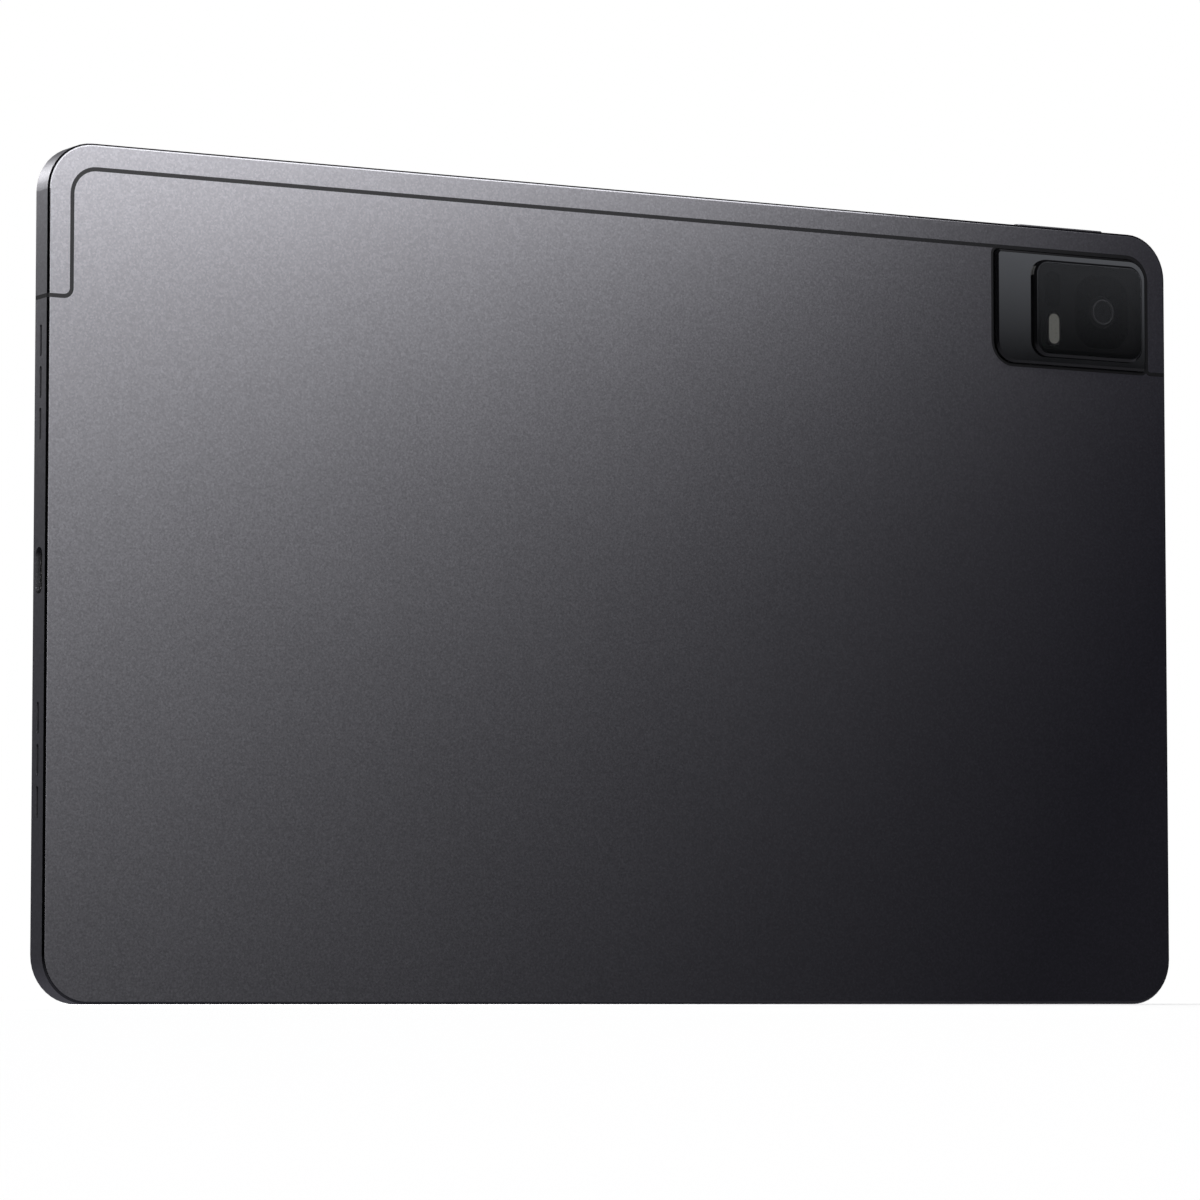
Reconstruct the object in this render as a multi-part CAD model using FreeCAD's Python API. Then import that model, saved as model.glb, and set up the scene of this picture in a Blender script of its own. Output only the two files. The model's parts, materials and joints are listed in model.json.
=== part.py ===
import FreeCAD, Part
import math
import os

from FreeCAD import Vector

# A slim tablet computer, in millimetres. It stands upright on its long lower edge.
# X runs along the long side, with the charging port at +X. The display faces -Y and the
# back faces +Y. Z runs up the short side. The origin is on the lower edge, midway along it.

# ---- overall body ----
BODY_WIDTH = 256.6
BODY_HEIGHT = 161.7
BODY_DEPTH = 6.9
CORNER_RADIUS = 9.2

# ---- metal shell ----
RAIL_WALL = 1.8
PANEL_THICKNESS = 0.9
BACK_BEVEL_DEPTH = 0.38
BACK_BEVEL_INSET = 0.33
BACK_SHOULDER_DEPTH = 0.07
BACK_SHOULDER_INSET = 0.22
FRONT_BEVEL_DEPTH = 0.78
FRONT_BEVEL_INSET = 0.5
RIM_BELOW_GLASS = 0.5
LIP_INSET = 0.65

# ---- display stack, from the front ----
GLASS_THICKNESS = 0.7
GLASS_EDGE_ROUND = 0.35
GLASS_GAP = 0.1
ADHESIVE_THICKNESS = 0.15
LCD_THICKNESS = 0.85
BACKLIGHT_THICKNESS = 0.85
MID_FRAME_THICKNESS = 0.4
SCREEN_BORDER = 9.05
LCD_MARGIN_SIDE = 0.85
LCD_MARGIN_TOP = 1.0
LCD_MARGIN_BOTTOM = 1.95
BACKLIGHT_INSET = 0.5
BEZEL_GAP = 0.05
BEZEL_THICKNESS = 0.7
BEZEL_TAPE_THICKNESS = 0.1
BEZEL_TAPE_MARGIN = 0.2
LCD_CLEARANCE = 0.5
MID_FRAME_GAP = 0.2

# ---- antenna line: a plastic seam that sets off the upper metal band ----
LINE_WIDTH = 0.8
LINE_INSET = 4.9
LINE_BEND_RADIUS = 5.0
LINE_CROSSING_DROP = 29.35
LINE_FOOT_RADIUS = 1.6
LINE_CORNER_RADIUS = 0.9

# ---- camera island: opening, plinth and raised module ----
ISLAND_WIDTH = 39.3
ISLAND_FRAME_WIDTH = 0.55
ISLAND_LOW_RADIUS = 5.4
ISLAND_TOP_RADIUS = 1.2
PLINTH_GAP = 0.25
PLINTH_LEDGE = 1.2
PLINTH_LEDGE_THICKNESS = 0.5
PLINTH_RISE = 1.0
PLINTH_BEVEL = 0.5
PLINTH_FLOOR = 0.6
MODULE_MARGIN = 1.57
MODULE_WIDTH = 27.45
MODULE_RADIUS = 3.3
MODULE_RISE = 1.1
MODULE_BEVEL = 0.5
MODULE_SEAT_GAP = 0.05
MODULE_RIM = 0.1
MODULE_LEDGE = 1.0
WINDOW_THICKNESS = 0.7
WINDOW_GAP = 0.05

# ---- rear camera ----
SURROUND_SHARE = 0.346
CAN_SIDE = 9.6
CAN_ROUND = 0.6
CAN_WALL = 0.3
CAN_FRONT = 0.3
CAN_TO_WINDOW = 0.65
CAN_HOLE_GAP = 0.4
BARREL_RADIUS = 3.2
BARREL_GAP = 0.15
BARREL_LENGTH = 2.85
FOCUS_TRAVEL = 0.25
FOCUS_CLEARANCE = 0.15
BAFFLE_RADIUS = 2.52
BAFFLE_DEPTH = 0.7
LENS_RADIUS = 1.5
LENS_THICKNESS = 1.2
LENS_CROWN = 0.25
SENSOR_BOARD_THICKNESS = 0.6
SENSOR_SIDE = 6.4
SENSOR_THICKNESS = 0.6
CAMERA_TAIL_WIDTH = 4.0
CAMERA_TAIL_THICKNESS = 0.15
CAMERA_TAIL_LENGTH = 6.5
SURROUND_WIDTH = 13.4
SURROUND_HEIGHT = 15.4
SURROUND_RADIUS = 5.0
SURROUND_THICKNESS = 0.25
SURROUND_GAP = 0.25

# ---- flash and light sensor ----
FLASH_FROM_MODULE_EDGE = 4.72
FLASH_DROP = 4.28
FLASH_WIDTH = 2.6
FLASH_HEIGHT = 6.3
FLASH_RING_WALL = 0.3
FLASH_FIT_GAP = 0.05
FLASH_SINK = 0.04
FLASH_LENS_THICKNESS = 1.0
FLASH_BOARD_THICKNESS = 0.4
FLASH_BOARD_MARGIN = 0.5
LED_SIDE = 1.5
LED_THICKNESS = 0.4
LED_SPACING = 2.8
SENSOR_COVER_WIDTH = 3.9
SENSOR_COVER_HEIGHT = 7.7
SENSOR_COVER_THICKNESS = 0.2
SENSOR_COVER_RISE = 4.1
LIGHT_SENSOR_SIDE = 2.0
LIGHT_SENSOR_THICKNESS = 0.7

# ---- front camera ----
FRONT_CAMERA_DROP = 4.3
FRONT_CAMERA_SIDE = 4.6
FRONT_CAMERA_DEPTH = 3.2
FRONT_CAMERA_TO_GLASS = 0.85
FRONT_LENS_RADIUS = 1.2
FRONT_LENS_LENGTH = 0.8
FRONT_CAMERA_GAP = 0.2

# ---- charging port ----
PORT_OPENING_WIDTH = 8.8
PORT_OPENING_HEIGHT = 3.0
PORT_LIP = 1.0
PORT_SHELL_WIDTH = 8.94
PORT_SHELL_HEIGHT = 3.16
PORT_SHELL_WALL = 0.3
PORT_SHELL_LENGTH = 6.6
PORT_SHELL_GAP = 0.05
TONGUE_WIDTH = 6.69
TONGUE_THICKNESS = 0.7
TONGUE_SETBACK = 0.7
PORT_BACK_THICKNESS = 0.9
CONTACTS_PER_FACE = 12
CONTACT_PITCH = 0.5
CONTACT_WIDTH = 0.25
CONTACT_THICKNESS = 0.04
CONTACT_LENGTH = 4.2
CONTACT_SETBACK = 0.5

# ---- speaker grilles, in both short sides ----
SLOT_LENGTH = 6.0
SLOT_WIDTH = 1.0
SLOT_PITCH = 7.85
SLOTS_PER_GRILLE = 3
SLOT_BELOW_LINE = 8.25
SPEAKER_MARGIN = 2.4
SPEAKER_LENGTH = 17.0
SPEAKER_WALL = 0.5
SPEAKER_FRONT_GAP = 0.05
SPEAKER_BACK_GAP = 0.1
SPEAKER_PORT_HEIGHT = 1.6
MESH_THICKNESS = 0.1
MESH_HEIGHT = 2.0
MESH_MARGIN = 1.0
SPEAKER_MESH_GAP = 0.05

# ---- power button, in the short side next to the camera ----
POWER_LENGTH = 12.0
POWER_WIDTH = 2.2
POWER_DROP = 18.7
POWER_PROUD = 0.5
POWER_CLEARANCE = 0.08

# ---- volume rocker, in the long upper side above the camera ----
ROCKER_LENGTH = 22.3
ROCKER_WIDTH = 2.2
ROCKER_FROM_EDGE = 25.3
ROCKER_PROUD = 0.55
ROCKER_CLEARANCE = 0.12
ROCKER_SINK = 0.3
ROCKER_DOME_SPACING = 14.8

# ---- shared key details ----
KEY_EDGE_ROUND = 0.18
KEY_FLANGE_MARGIN = 0.6
KEY_FLANGE_THICKNESS = 0.6
KEY_FLANGE_REST_GAP = 0.05
KEY_NUB_RADIUS = 0.7
KEY_NUB_LENGTH = 0.3
DOME_RADIUS = 1.3
KEY_TRAVEL = 0.3
DOME_FLAT_THICKNESS = 0.1
DOME_GAP = 0.05
KEY_FLEX_THICKNESS = 0.1
KEY_FLEX_WIDTH = 3.0
KEY_FLEX_MARGIN = 1.0
KEY_BRACKET_THICKNESS = 0.4
KEY_BRACKET_FRONT = 1.5
PIVOT_GAP = 0.05
KEY_BAY_GAP = 0.3

# ---- card tray, in the short side away from the port ----
TRAY_HEAD_END = 1.6
TRAY_HEAD_WIDTH = 2.2
TRAY_HEAD_THICKNESS = 0.95
TRAY_CLEARANCE = 0.08
TRAY_NECK_INSET = 0.4
TRAY_NECK_LENGTH = 0.85
TRAY_SEAL_GAP = 0.04
TRAY_END = 3.9
TRAY_RIM = 0.55
TRAY_THICKNESS = 1.0
TRAY_OFFSET = -1.1
CARD_WIDTH = 11.1
CARD_LENGTH = 15.1
CARD_DEPTH = 0.75
CARD_SETBACK = 4.0
EJECT_HOLE_RADIUS = 0.45
READER_GAP = 0.15
READER_WALL = 0.2
READER_SETBACK = 0.25
READER_END_ROOM = 1.5
EJECT_ROD_SIDE = 0.7
EJECT_ROD_GAP = 1.05
EJECT_TRAVEL = 1.5
EJECT_ROD_END_GAP = 3.8

# ---- boards, battery and wiring ----
BOARD_THICKNESS = 0.8
BOARD_STANDOFF = 0.45
BOARD_FROM_EDGE = 19.9
BOARD_RIGHT_FROM_EDGE = 63.3
BOARD_BOTTOM = 14.0
BOARD_TOP_DROP = 9.0
BOARD_CAMERA_NOTCH = 30.0
BOARD_NOTCH_FROM_EDGE = 24.3
BATTERY_GAP = 2.5
BATTERY_SIDE_GAP = 0.15
BATTERY_BOTTOM = 14.0
BATTERY_TOP_DROP = 17.0
BATTERY_ROUND = 1.0
PAD_THICKNESS = 0.15
PAD_MARGIN = 12.0
GUARD_HEIGHT = 4.5
GUARD_GAP = 1.5
GUARD_THICKNESS = 0.8
GUARD_FRONT = 1.0
LEAD_WIDTH = 3.0
LEAD_THICKNESS = 0.15
LEAD_OVERLAP = 8.0
USB_BOARD_GAP = 1.2
USB_BOARD_LENGTH = 20.2
USB_BOARD_NOTCH_GAP = 0.15
FLEX_THICKNESS = 0.15
FLEX_GAP = 0.02
FLEX_WIDTH = 4.2
FLEX_BOTTOM = 7.8
FLEX_OVERLAP = 5.0
FLEX_BOARD_REACH = 12.0
FLEX_SIDE_GAP = 0.3
DISPLAY_FLEX_WIDTH = 25.0
DISPLAY_FLEX_TOP = 20.0
SHIELD_WALL = 0.2
SHIELD_HEIGHT = 1.35
SHIELD_WIDTH = 28.0
SHIELD_LOWER_HEIGHT = 38.0
SHIELD_UPPER_HEIGHT = 30.0
SHIELD_BOTTOM = 26.0
SHIELD_SPACING = 7.0
CHIP_THICKNESS = 1.0
CHIP_SIDE = 11.5
CHIP_GAP = 3.0

# ---- fasteners ----
FRAME_SCREW_COUNT_BOTTOM = 6
FRAME_SCREW_EDGE_MARGIN = 18.0
FRAME_SCREW_BOTTOM = 4.6
FRAME_SCREW_TOP_DROP = 3.15
FRAME_SCREW_INNER_OFFSET = 12.0
FRAME_SCREW_OUTER_FROM_EDGE = 62.0
FRAME_BOSS_RADIUS = 1.35
FRAME_SCREW_HEAD_RADIUS = 1.15
SCREW_SHAFT_RADIUS = 0.6
SCREW_HEAD_THICKNESS = 0.4
SCREW_THREAD_GAP = 0.02
SCREW_HOLE_GAP = 0.1
FRAME_SCREW_LENGTH = 2.2
BOARD_SCREW_MARGIN = 2.6
BOARD_SCREW_LENGTH = 0.9
BOARD_BOSS_RADIUS = 2.0
BOARD_SCREW_HEAD_RADIUS = 1.3

# ---- microphones and antennas ----
MICROPHONE_OFFSET = 24.0
MICROPHONE_HOLE_RADIUS = 0.4
MICROPHONE_LENGTH = 3.4
MICROPHONE_DEPTH = 2.4
MICROPHONE_HEIGHT = 1.0
MICROPHONE_GAP = 0.05
ANTENNA_LENGTH = 38.0
ANTENNA_FROM_EDGE = 16.0
ANTENNA_HEIGHT = 2.2
ANTENNA_DEPTH = 1.5
ANTENNA_GAP = 0.15
SIDE_ANTENNA_LENGTH = 13.0
SIDE_ANTENNA_ABOVE_LINE = 3.5

# ---- levels and lines worked out from the sizes above ----
HALF_WIDTH = BODY_WIDTH / 2
MID_HEIGHT = BODY_HEIGHT / 2
BACK = BODY_DEPTH / 2
FRONT = -BODY_DEPTH / 2
PANEL_INNER = BACK - PANEL_THICKNESS
RAIL_BACK = BACK - BACK_SHOULDER_DEPTH - BACK_BEVEL_DEPTH
RIM_FRONT = FRONT + RIM_BELOW_GLASS
RAIL_FRONT = RIM_FRONT + FRONT_BEVEL_DEPTH
RAIL_CENTRE = (RAIL_BACK + RAIL_FRONT) / 2
GLASS_BACK = FRONT + GLASS_THICKNESS
LCD_FRONT = GLASS_BACK + ADHESIVE_THICKNESS
LCD_BACK = LCD_FRONT + LCD_THICKNESS
BACKLIGHT_BACK = LCD_BACK + BACKLIGHT_THICKNESS
MID_FRAME_BACK = BACKLIGHT_BACK + MID_FRAME_THICKNESS
BEZEL_BACK = GLASS_BACK + BEZEL_THICKNESS
POCKET_FLOOR = BEZEL_BACK + BEZEL_TAPE_THICKNESS
BOARD_BACK = PANEL_INNER - BOARD_STANDOFF
BOARD_FRONT = BOARD_BACK - BOARD_THICKNESS
INNER_SIDE = HALF_WIDTH - RAIL_WALL
INNER_TOP = BODY_HEIGHT - RAIL_WALL

LINE_X = HALF_WIDTH - LINE_INSET
LINE_TOP = BODY_HEIGHT - LINE_INSET
LINE_CROSSING = BODY_HEIGHT - LINE_CROSSING_DROP

LEDGE_BACK = PANEL_INNER + PLINTH_LEDGE_THICKNESS
PLINTH_BACK = BACK + PLINTH_RISE
PLINTH_SEAT = LEDGE_BACK + PLINTH_FLOOR
MODULE_BACK = PLINTH_BACK + MODULE_RISE
WINDOW_FRONT = MODULE_BACK - WINDOW_THICKNESS

ISLAND_LEFT = -LINE_X + LINE_WIDTH / 2
ISLAND_RIGHT = ISLAND_LEFT + ISLAND_WIDTH - ISLAND_FRAME_WIDTH - LINE_WIDTH / 2
ISLAND_TOP = LINE_TOP - LINE_WIDTH / 2
ISLAND_BOTTOM = LINE_CROSSING - LINE_WIDTH / 2 + ISLAND_FRAME_WIDTH

MODULE_LEFT = ISLAND_LEFT + PLINTH_GAP + MODULE_MARGIN
MODULE_RIGHT = MODULE_LEFT + MODULE_WIDTH
MODULE_TOP = ISLAND_TOP - PLINTH_GAP - MODULE_MARGIN
MODULE_BOTTOM = ISLAND_BOTTOM + PLINTH_GAP + MODULE_MARGIN
MODULE_MIDDLE = (MODULE_TOP + MODULE_BOTTOM) / 2

LENS_Z = MODULE_MIDDLE
CAN_BACK = WINDOW_FRONT - CAN_TO_WINDOW
BARREL_BACK = WINDOW_FRONT - FOCUS_TRAVEL - FOCUS_CLEARANCE
FLASH_X = MODULE_RIGHT - FLASH_FROM_MODULE_EDGE
LEDGE_LEFT = MODULE_LEFT + MODULE_BEVEL + MODULE_RIM + MODULE_LEDGE
SURROUND_SPARE = FLASH_X - SENSOR_COVER_WIDTH / 2 - LEDGE_LEFT - SURROUND_WIDTH
LENS_X = LEDGE_LEFT + SURROUND_SHARE * SURROUND_SPARE + SURROUND_WIDTH / 2
FLASH_Z = MODULE_MIDDLE - FLASH_DROP
SENSOR_COVER_Z = MODULE_MIDDLE + SENSOR_COVER_RISE
FLASH_BOARD_BACK = PLINTH_SEAT + FLASH_BOARD_THICKNESS

SCREEN_X = HALF_WIDTH - SCREEN_BORDER
LCD_X = SCREEN_X + LCD_MARGIN_SIDE
LCD_BOTTOM = SCREEN_BORDER - LCD_MARGIN_BOTTOM
LCD_TOP = BODY_HEIGHT - SCREEN_BORDER + LCD_MARGIN_TOP

BOARD_LEFT = -HALF_WIDTH + BOARD_FROM_EDGE
BOARD_RIGHT = -HALF_WIDTH + BOARD_RIGHT_FROM_EDGE
BOARD_TOP = BODY_HEIGHT - BOARD_TOP_DROP
BOARD_NOTCH_LEFT = -HALF_WIDTH + BOARD_NOTCH_FROM_EDGE
BOARD_NOTCH_BOTTOM = BODY_HEIGHT - BOARD_CAMERA_NOTCH

GRILLE_MIDDLE = LINE_CROSSING - SLOT_BELOW_LINE - SLOT_PITCH * (SLOTS_PER_GRILLE - 1) / 2
GRILLE_LENGTH = SLOT_PITCH * (SLOTS_PER_GRILLE - 1) + SLOT_LENGTH
SPEAKER_HALF = GRILLE_LENGTH / 2 + SPEAKER_MARGIN
USB_BOARD_HALF = GRILLE_MIDDLE - SPEAKER_HALF - USB_BOARD_GAP - MID_HEIGHT
USB_BOARD_LEFT = INNER_SIDE - USB_BOARD_LENGTH
SPEAKER_FRONT = INNER_SIDE - MESH_THICKNESS - SPEAKER_MESH_GAP
PORT_FRONT = HALF_WIDTH - PORT_LIP
PORT_BACK = PORT_FRONT - PORT_SHELL_LENGTH

TRAY_LENGTH = CARD_SETBACK + CARD_LENGTH + TRAY_END
TRAY_WIDTH = CARD_WIDTH + 2 * TRAY_RIM
EJECT_HOLE_OFFSET = TRAY_OFFSET + TRAY_WIDTH / 2 + EJECT_ROD_GAP + EJECT_ROD_SIDE / 2
TRAY_HEAD_LENGTH = 2 * (EJECT_HOLE_OFFSET + TRAY_HEAD_END)
READER_LENGTH = TRAY_LENGTH + READER_END_ROOM
DOME_THICKNESS = KEY_TRAVEL + DOME_FLAT_THICKNESS
EJECT_ROD_LENGTH = READER_LENGTH - READER_WALL - EJECT_TRAVEL - EJECT_ROD_END_GAP
POWER_Z = BODY_HEIGHT - POWER_DROP
ROCKER_X = -HALF_WIDTH + ROCKER_FROM_EDGE
ROCKER_FLANGE_BOTTOM = INNER_TOP - ROCKER_SINK - KEY_FLANGE_THICKNESS
POWER_FLANGE_INNER = INNER_SIDE - KEY_FLANGE_REST_GAP - KEY_FLANGE_THICKNESS

BATTERY_LEFT = BOARD_RIGHT + BATTERY_GAP
BATTERY_RIGHT = USB_BOARD_LEFT - BATTERY_GAP
BATTERY_TOP = BODY_HEIGHT - BATTERY_TOP_DROP
BATTERY_FRONT = MID_FRAME_BACK + BATTERY_SIDE_GAP
BATTERY_BACK = PANEL_INNER - PAD_THICKNESS

PLACES = {
    "x": lambda u, v, w: Vector(w, u, v),
    "y": lambda u, v, w: Vector(u, w, v),
    "z": lambda u, v, w: Vector(u, v, w),
}


# ---- drawing helpers ----
def rectangle(u0, u1, v0, v1, radius=0.0):
    """Corners of a rectangle as (u, v, radius), for outline()."""
    return [(u0, v0, radius), (u1, v0, radius), (u1, v1, radius), (u0, v1, radius)]


def centred(u, v, width, height, radius=0.0):
    return rectangle(u - width / 2, u + width / 2, v - height / 2, v + height / 2, radius)


def outline(corners, axis, level):
    """Closed wire through the corners, each rounded by its own radius, across the axis at level."""
    place = PLACES[axis]
    count = len(corners)
    starts, middles, ends = [], [], []
    for i, (u, v, radius) in enumerate(corners):
        here = Vector(u, v, 0)
        before = Vector(corners[i - 1][0], corners[i - 1][1], 0) - here
        after = Vector(corners[(i + 1) % count][0], corners[(i + 1) % count][1], 0) - here
        before.normalize()
        after.normalize()
        half = before.getAngle(after) / 2
        reach = radius / math.tan(half)
        towards = before + after
        towards.normalize()
        starts.append(here + before * reach)
        middles.append(here + towards * (radius / math.sin(half) - radius))
        ends.append(here + after * reach)
    edges = []
    for i in range(count):
        start, middle, end = (place(p.x, p.y, level) for p in (starts[i], middles[i], ends[i]))
        if corners[i][2] > 0:
            edges.append(Part.Arc(start, middle, end).toShape())
        following = starts[(i + 1) % count]
        following = place(following.x, following.y, level)
        if end.distanceToPoint(following) > 1e-6:
            edges.append(Part.makeLine(end, following))
    return Part.Wire(edges)


def prism(corners, axis, start, end):
    """Straight solid of that outline, from start to end along the axis."""
    along = PLACES[axis](0, 0, end - start)
    return Part.Face(outline(corners, axis, start)).extrude(along)


def taper(corners0, corners1, axis, start, end):
    """Solid that changes from one outline at start to another at end."""
    wires = [outline(corners0, axis, start), outline(corners1, axis, end)]
    return Part.makeLoft(wires, True, True)


def block(x0, x1, y0, y1, z0, z1):
    return Part.makeBox(x1 - x0, y1 - y0, z1 - z0, Vector(x0, y0, z0))


def rod(u, v, radius, axis, start, end):
    """Round bar along the axis from start to end."""
    place = PLACES[axis]
    return Part.makeCylinder(radius, end - start, place(u, v, start), place(0, 0, 1))


def capsule(u, v, width, height):
    return centred(u, v, width, height, min(width, height) / 2)


def body_outline(inset):
    return rectangle(
        inset - HALF_WIDTH,
        HALF_WIDTH - inset,
        inset,
        BODY_HEIGHT - inset,
        CORNER_RADIUS - inset,
    )


def island_outline(inset):
    """The island's rounded rectangle; a negative inset is larger."""
    left, right = ISLAND_LEFT + inset, ISLAND_RIGHT - inset
    bottom, top = ISLAND_BOTTOM + inset, ISLAND_TOP - inset
    bend = LINE_BEND_RADIUS - LINE_WIDTH / 2 - inset
    corner = max(LINE_CORNER_RADIUS - inset, LINE_CORNER_RADIUS / 2)
    return [
        (left, bottom, corner),
        (right, bottom, ISLAND_LOW_RADIUS - ISLAND_FRAME_WIDTH - inset),
        (right, top, max(ISLAND_TOP_RADIUS - inset, ISLAND_TOP_RADIUS / 2)),
        (left, top, bend),
    ]


def module_outline(inset):
    return rectangle(
        MODULE_LEFT + inset,
        MODULE_RIGHT - inset,
        MODULE_BOTTOM + inset,
        MODULE_TOP - inset,
        MODULE_RADIUS - inset,
    )


def fused(shapes):
    return shapes[0].multiFuse(shapes[1:]).removeSplitter()


def group(shapes):
    return Part.makeCompound(shapes)


def save(name, shape):
    shape.exportStep(f"parts/{name}.step")


# ---- metal shell and antenna seam ----
def below_line(offset):
    """Prism of everything inside the seam's centre line, moved inwards by offset."""
    side = LINE_X - offset
    top = LINE_TOP - offset
    crossing = LINE_CROSSING - offset
    far = BODY_WIDTH
    bend = LINE_BEND_RADIUS - offset
    corners = [
        (-far, -far, 0.0),
        (far, -far, 0.0),
        (far, crossing, 0.0),
        (side, crossing, LINE_FOOT_RADIUS + offset),
        (side, top, bend),
        (-side, top, bend),
        (-side, crossing, LINE_CORNER_RADIUS + offset),
        (-far, crossing, 0.0),
    ]
    return prism(corners, "y", FRONT, BACK + BODY_DEPTH)


def outer_body():
    shoulder = BACK_BEVEL_INSET + BACK_SHOULDER_INSET
    bevel_back = BACK - BACK_SHOULDER_DEPTH
    pieces = [
        taper(body_outline(FRONT_BEVEL_INSET), body_outline(0.0), "y", RIM_FRONT, RAIL_FRONT),
        prism(body_outline(0.0), "y", RAIL_FRONT, RAIL_BACK),
        taper(body_outline(0.0), body_outline(BACK_BEVEL_INSET), "y", RAIL_BACK, bevel_back),
        taper(body_outline(BACK_BEVEL_INSET), body_outline(shoulder), "y", bevel_back, BACK),
    ]
    return fused(pieces)


def grille_places():
    """Side sign, direction sign and middle height of each speaker."""
    places = {}
    for side_name, side in (("right", 1), ("left", -1)):
        for level_name, level in (("upper", 1), ("lower", -1)):
            middle = MID_HEIGHT + level * (GRILLE_MIDDLE - MID_HEIGHT)
            places[f"{level_name}_{side_name}"] = (side, middle)
    return places


def side_span(side, inner, outer):
    """Ordered X limits of something between two distances from the middle plane."""
    return sorted((side * inner, side * outer))


def grille_slots():
    slots = []
    for side, middle in grille_places().values():
        x0, x1 = side_span(side, INNER_SIDE - RAIL_WALL, HALF_WIDTH + RAIL_WALL)
        for i in range(SLOTS_PER_GRILLE):
            z = middle + (i - (SLOTS_PER_GRILLE - 1) / 2) * SLOT_PITCH
            slots.append(prism(capsule(RAIL_CENTRE, z, SLOT_WIDTH, SLOT_LENGTH), "x", x0, x1))
    return slots


def port_cut():
    through = HALF_WIDTH + PORT_LIP
    opening = capsule(RAIL_CENTRE, MID_HEIGHT, PORT_OPENING_HEIGHT, PORT_OPENING_WIDTH)
    seat = capsule(
        RAIL_CENTRE,
        MID_HEIGHT,
        PORT_SHELL_HEIGHT + 2 * PORT_SHELL_GAP,
        PORT_SHELL_WIDTH + 2 * PORT_SHELL_GAP,
    )
    return [
        prism(opening, "x", INNER_SIDE - RAIL_WALL, through),
        prism(seat, "x", INNER_SIDE - RAIL_WALL, PORT_FRONT + PORT_SHELL_GAP),
    ]


def tray_cut():
    slot = capsule(RAIL_CENTRE, MID_HEIGHT, TRAY_HEAD_WIDTH, TRAY_HEAD_LENGTH)
    return prism(slot, "x", -HALF_WIDTH - RAIL_WALL, RAIL_WALL - INNER_SIDE)


def power_cut():
    slot = capsule(RAIL_CENTRE, POWER_Z, POWER_WIDTH, POWER_LENGTH)
    return prism(slot, "x", -HALF_WIDTH - RAIL_WALL, RAIL_WALL - INNER_SIDE)


def rocker_cut():
    slot = capsule(ROCKER_X, RAIL_CENTRE, ROCKER_LENGTH, ROCKER_WIDTH)
    return prism(slot, "z", INNER_TOP - RAIL_WALL, BODY_HEIGHT + RAIL_WALL)


def microphone_places():
    return [-MICROPHONE_OFFSET, MICROPHONE_OFFSET]


def frame_screw_places():
    """(x, z) of the screws that hold the display frame: a row at the bottom and four at the top."""
    reach = HALF_WIDTH - FRAME_SCREW_EDGE_MARGIN
    step = 2 * reach / (FRAME_SCREW_COUNT_BOTTOM - 1)
    bottom = [(-reach + i * step, FRAME_SCREW_BOTTOM) for i in range(FRAME_SCREW_COUNT_BOTTOM)]
    outer = HALF_WIDTH - FRAME_SCREW_OUTER_FROM_EDGE
    top_z = BODY_HEIGHT - FRAME_SCREW_TOP_DROP
    offsets = (-outer, -FRAME_SCREW_INNER_OFFSET, FRAME_SCREW_INNER_OFFSET, outer)
    return bottom, [(x, top_z) for x in offsets]


def board_screw_places():
    left = BOARD_LEFT + BOARD_SCREW_MARGIN
    right = BOARD_RIGHT - BOARD_SCREW_MARGIN
    low = BOARD_BOTTOM + BOARD_SCREW_MARGIN
    high = BOARD_TOP - BOARD_SCREW_MARGIN
    return [(left, low), (right, low), (left, BOARD_NOTCH_BOTTOM - BOARD_SCREW_MARGIN), (right, high)]


def screw_pilots(places, start, end):
    radius = SCREW_SHAFT_RADIUS + SCREW_THREAD_GAP
    return [rod(x, z, radius, "y", start, end) for x, z in places]


def hollow_shell():
    """The whole metal tray before the seam divides it, open towards the display."""
    shell = outer_body()
    pocket = prism(body_outline(LIP_INSET), "y", FRONT, POCKET_FLOOR)
    cavity = prism(body_outline(RAIL_WALL), "y", FRONT, PANEL_INNER)
    shell = shell.cut(fused([pocket, cavity]))
    bottom, top = frame_screw_places()
    frame_bosses = [
        rod(x, z, FRAME_BOSS_RADIUS, "y", MID_FRAME_BACK, PANEL_INNER) for x, z in bottom + top
    ]
    board_bosses = [
        rod(x, z, BOARD_BOSS_RADIUS, "y", BOARD_BACK, PANEL_INNER) for x, z in board_screw_places()
    ]
    shell = shell.multiFuse(frame_bosses + board_bosses)
    frame_end = BACKLIGHT_BACK + FRAME_SCREW_LENGTH + SCREW_THREAD_GAP
    board_end = BOARD_FRONT + BOARD_THICKNESS + BOARD_SCREW_LENGTH + SCREW_THREAD_GAP
    pilots = screw_pilots(bottom + top, BACKLIGHT_BACK, frame_end)
    pilots += screw_pilots(board_screw_places(), BOARD_FRONT, board_end)
    return shell.cut(pilots)


def rear_housing(shell):
    metal = shell.common(below_line(LINE_WIDTH / 2))
    opening = prism(island_outline(-ISLAND_FRAME_WIDTH), "y", PANEL_INNER, BACK + PLINTH_RISE)
    return metal.cut([opening, tray_cut()] + grille_slots() + port_cut())


def antenna_band(shell):
    metal = shell.cut(below_line(-LINE_WIDTH / 2))
    holes = [
        rod(x, RAIL_CENTRE, MICROPHONE_HOLE_RADIUS, "z", INNER_TOP - RAIL_WALL, BODY_HEIGHT + RAIL_WALL)
        for x in microphone_places()
    ]
    return metal.cut([power_cut(), rocker_cut()] + holes)


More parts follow.
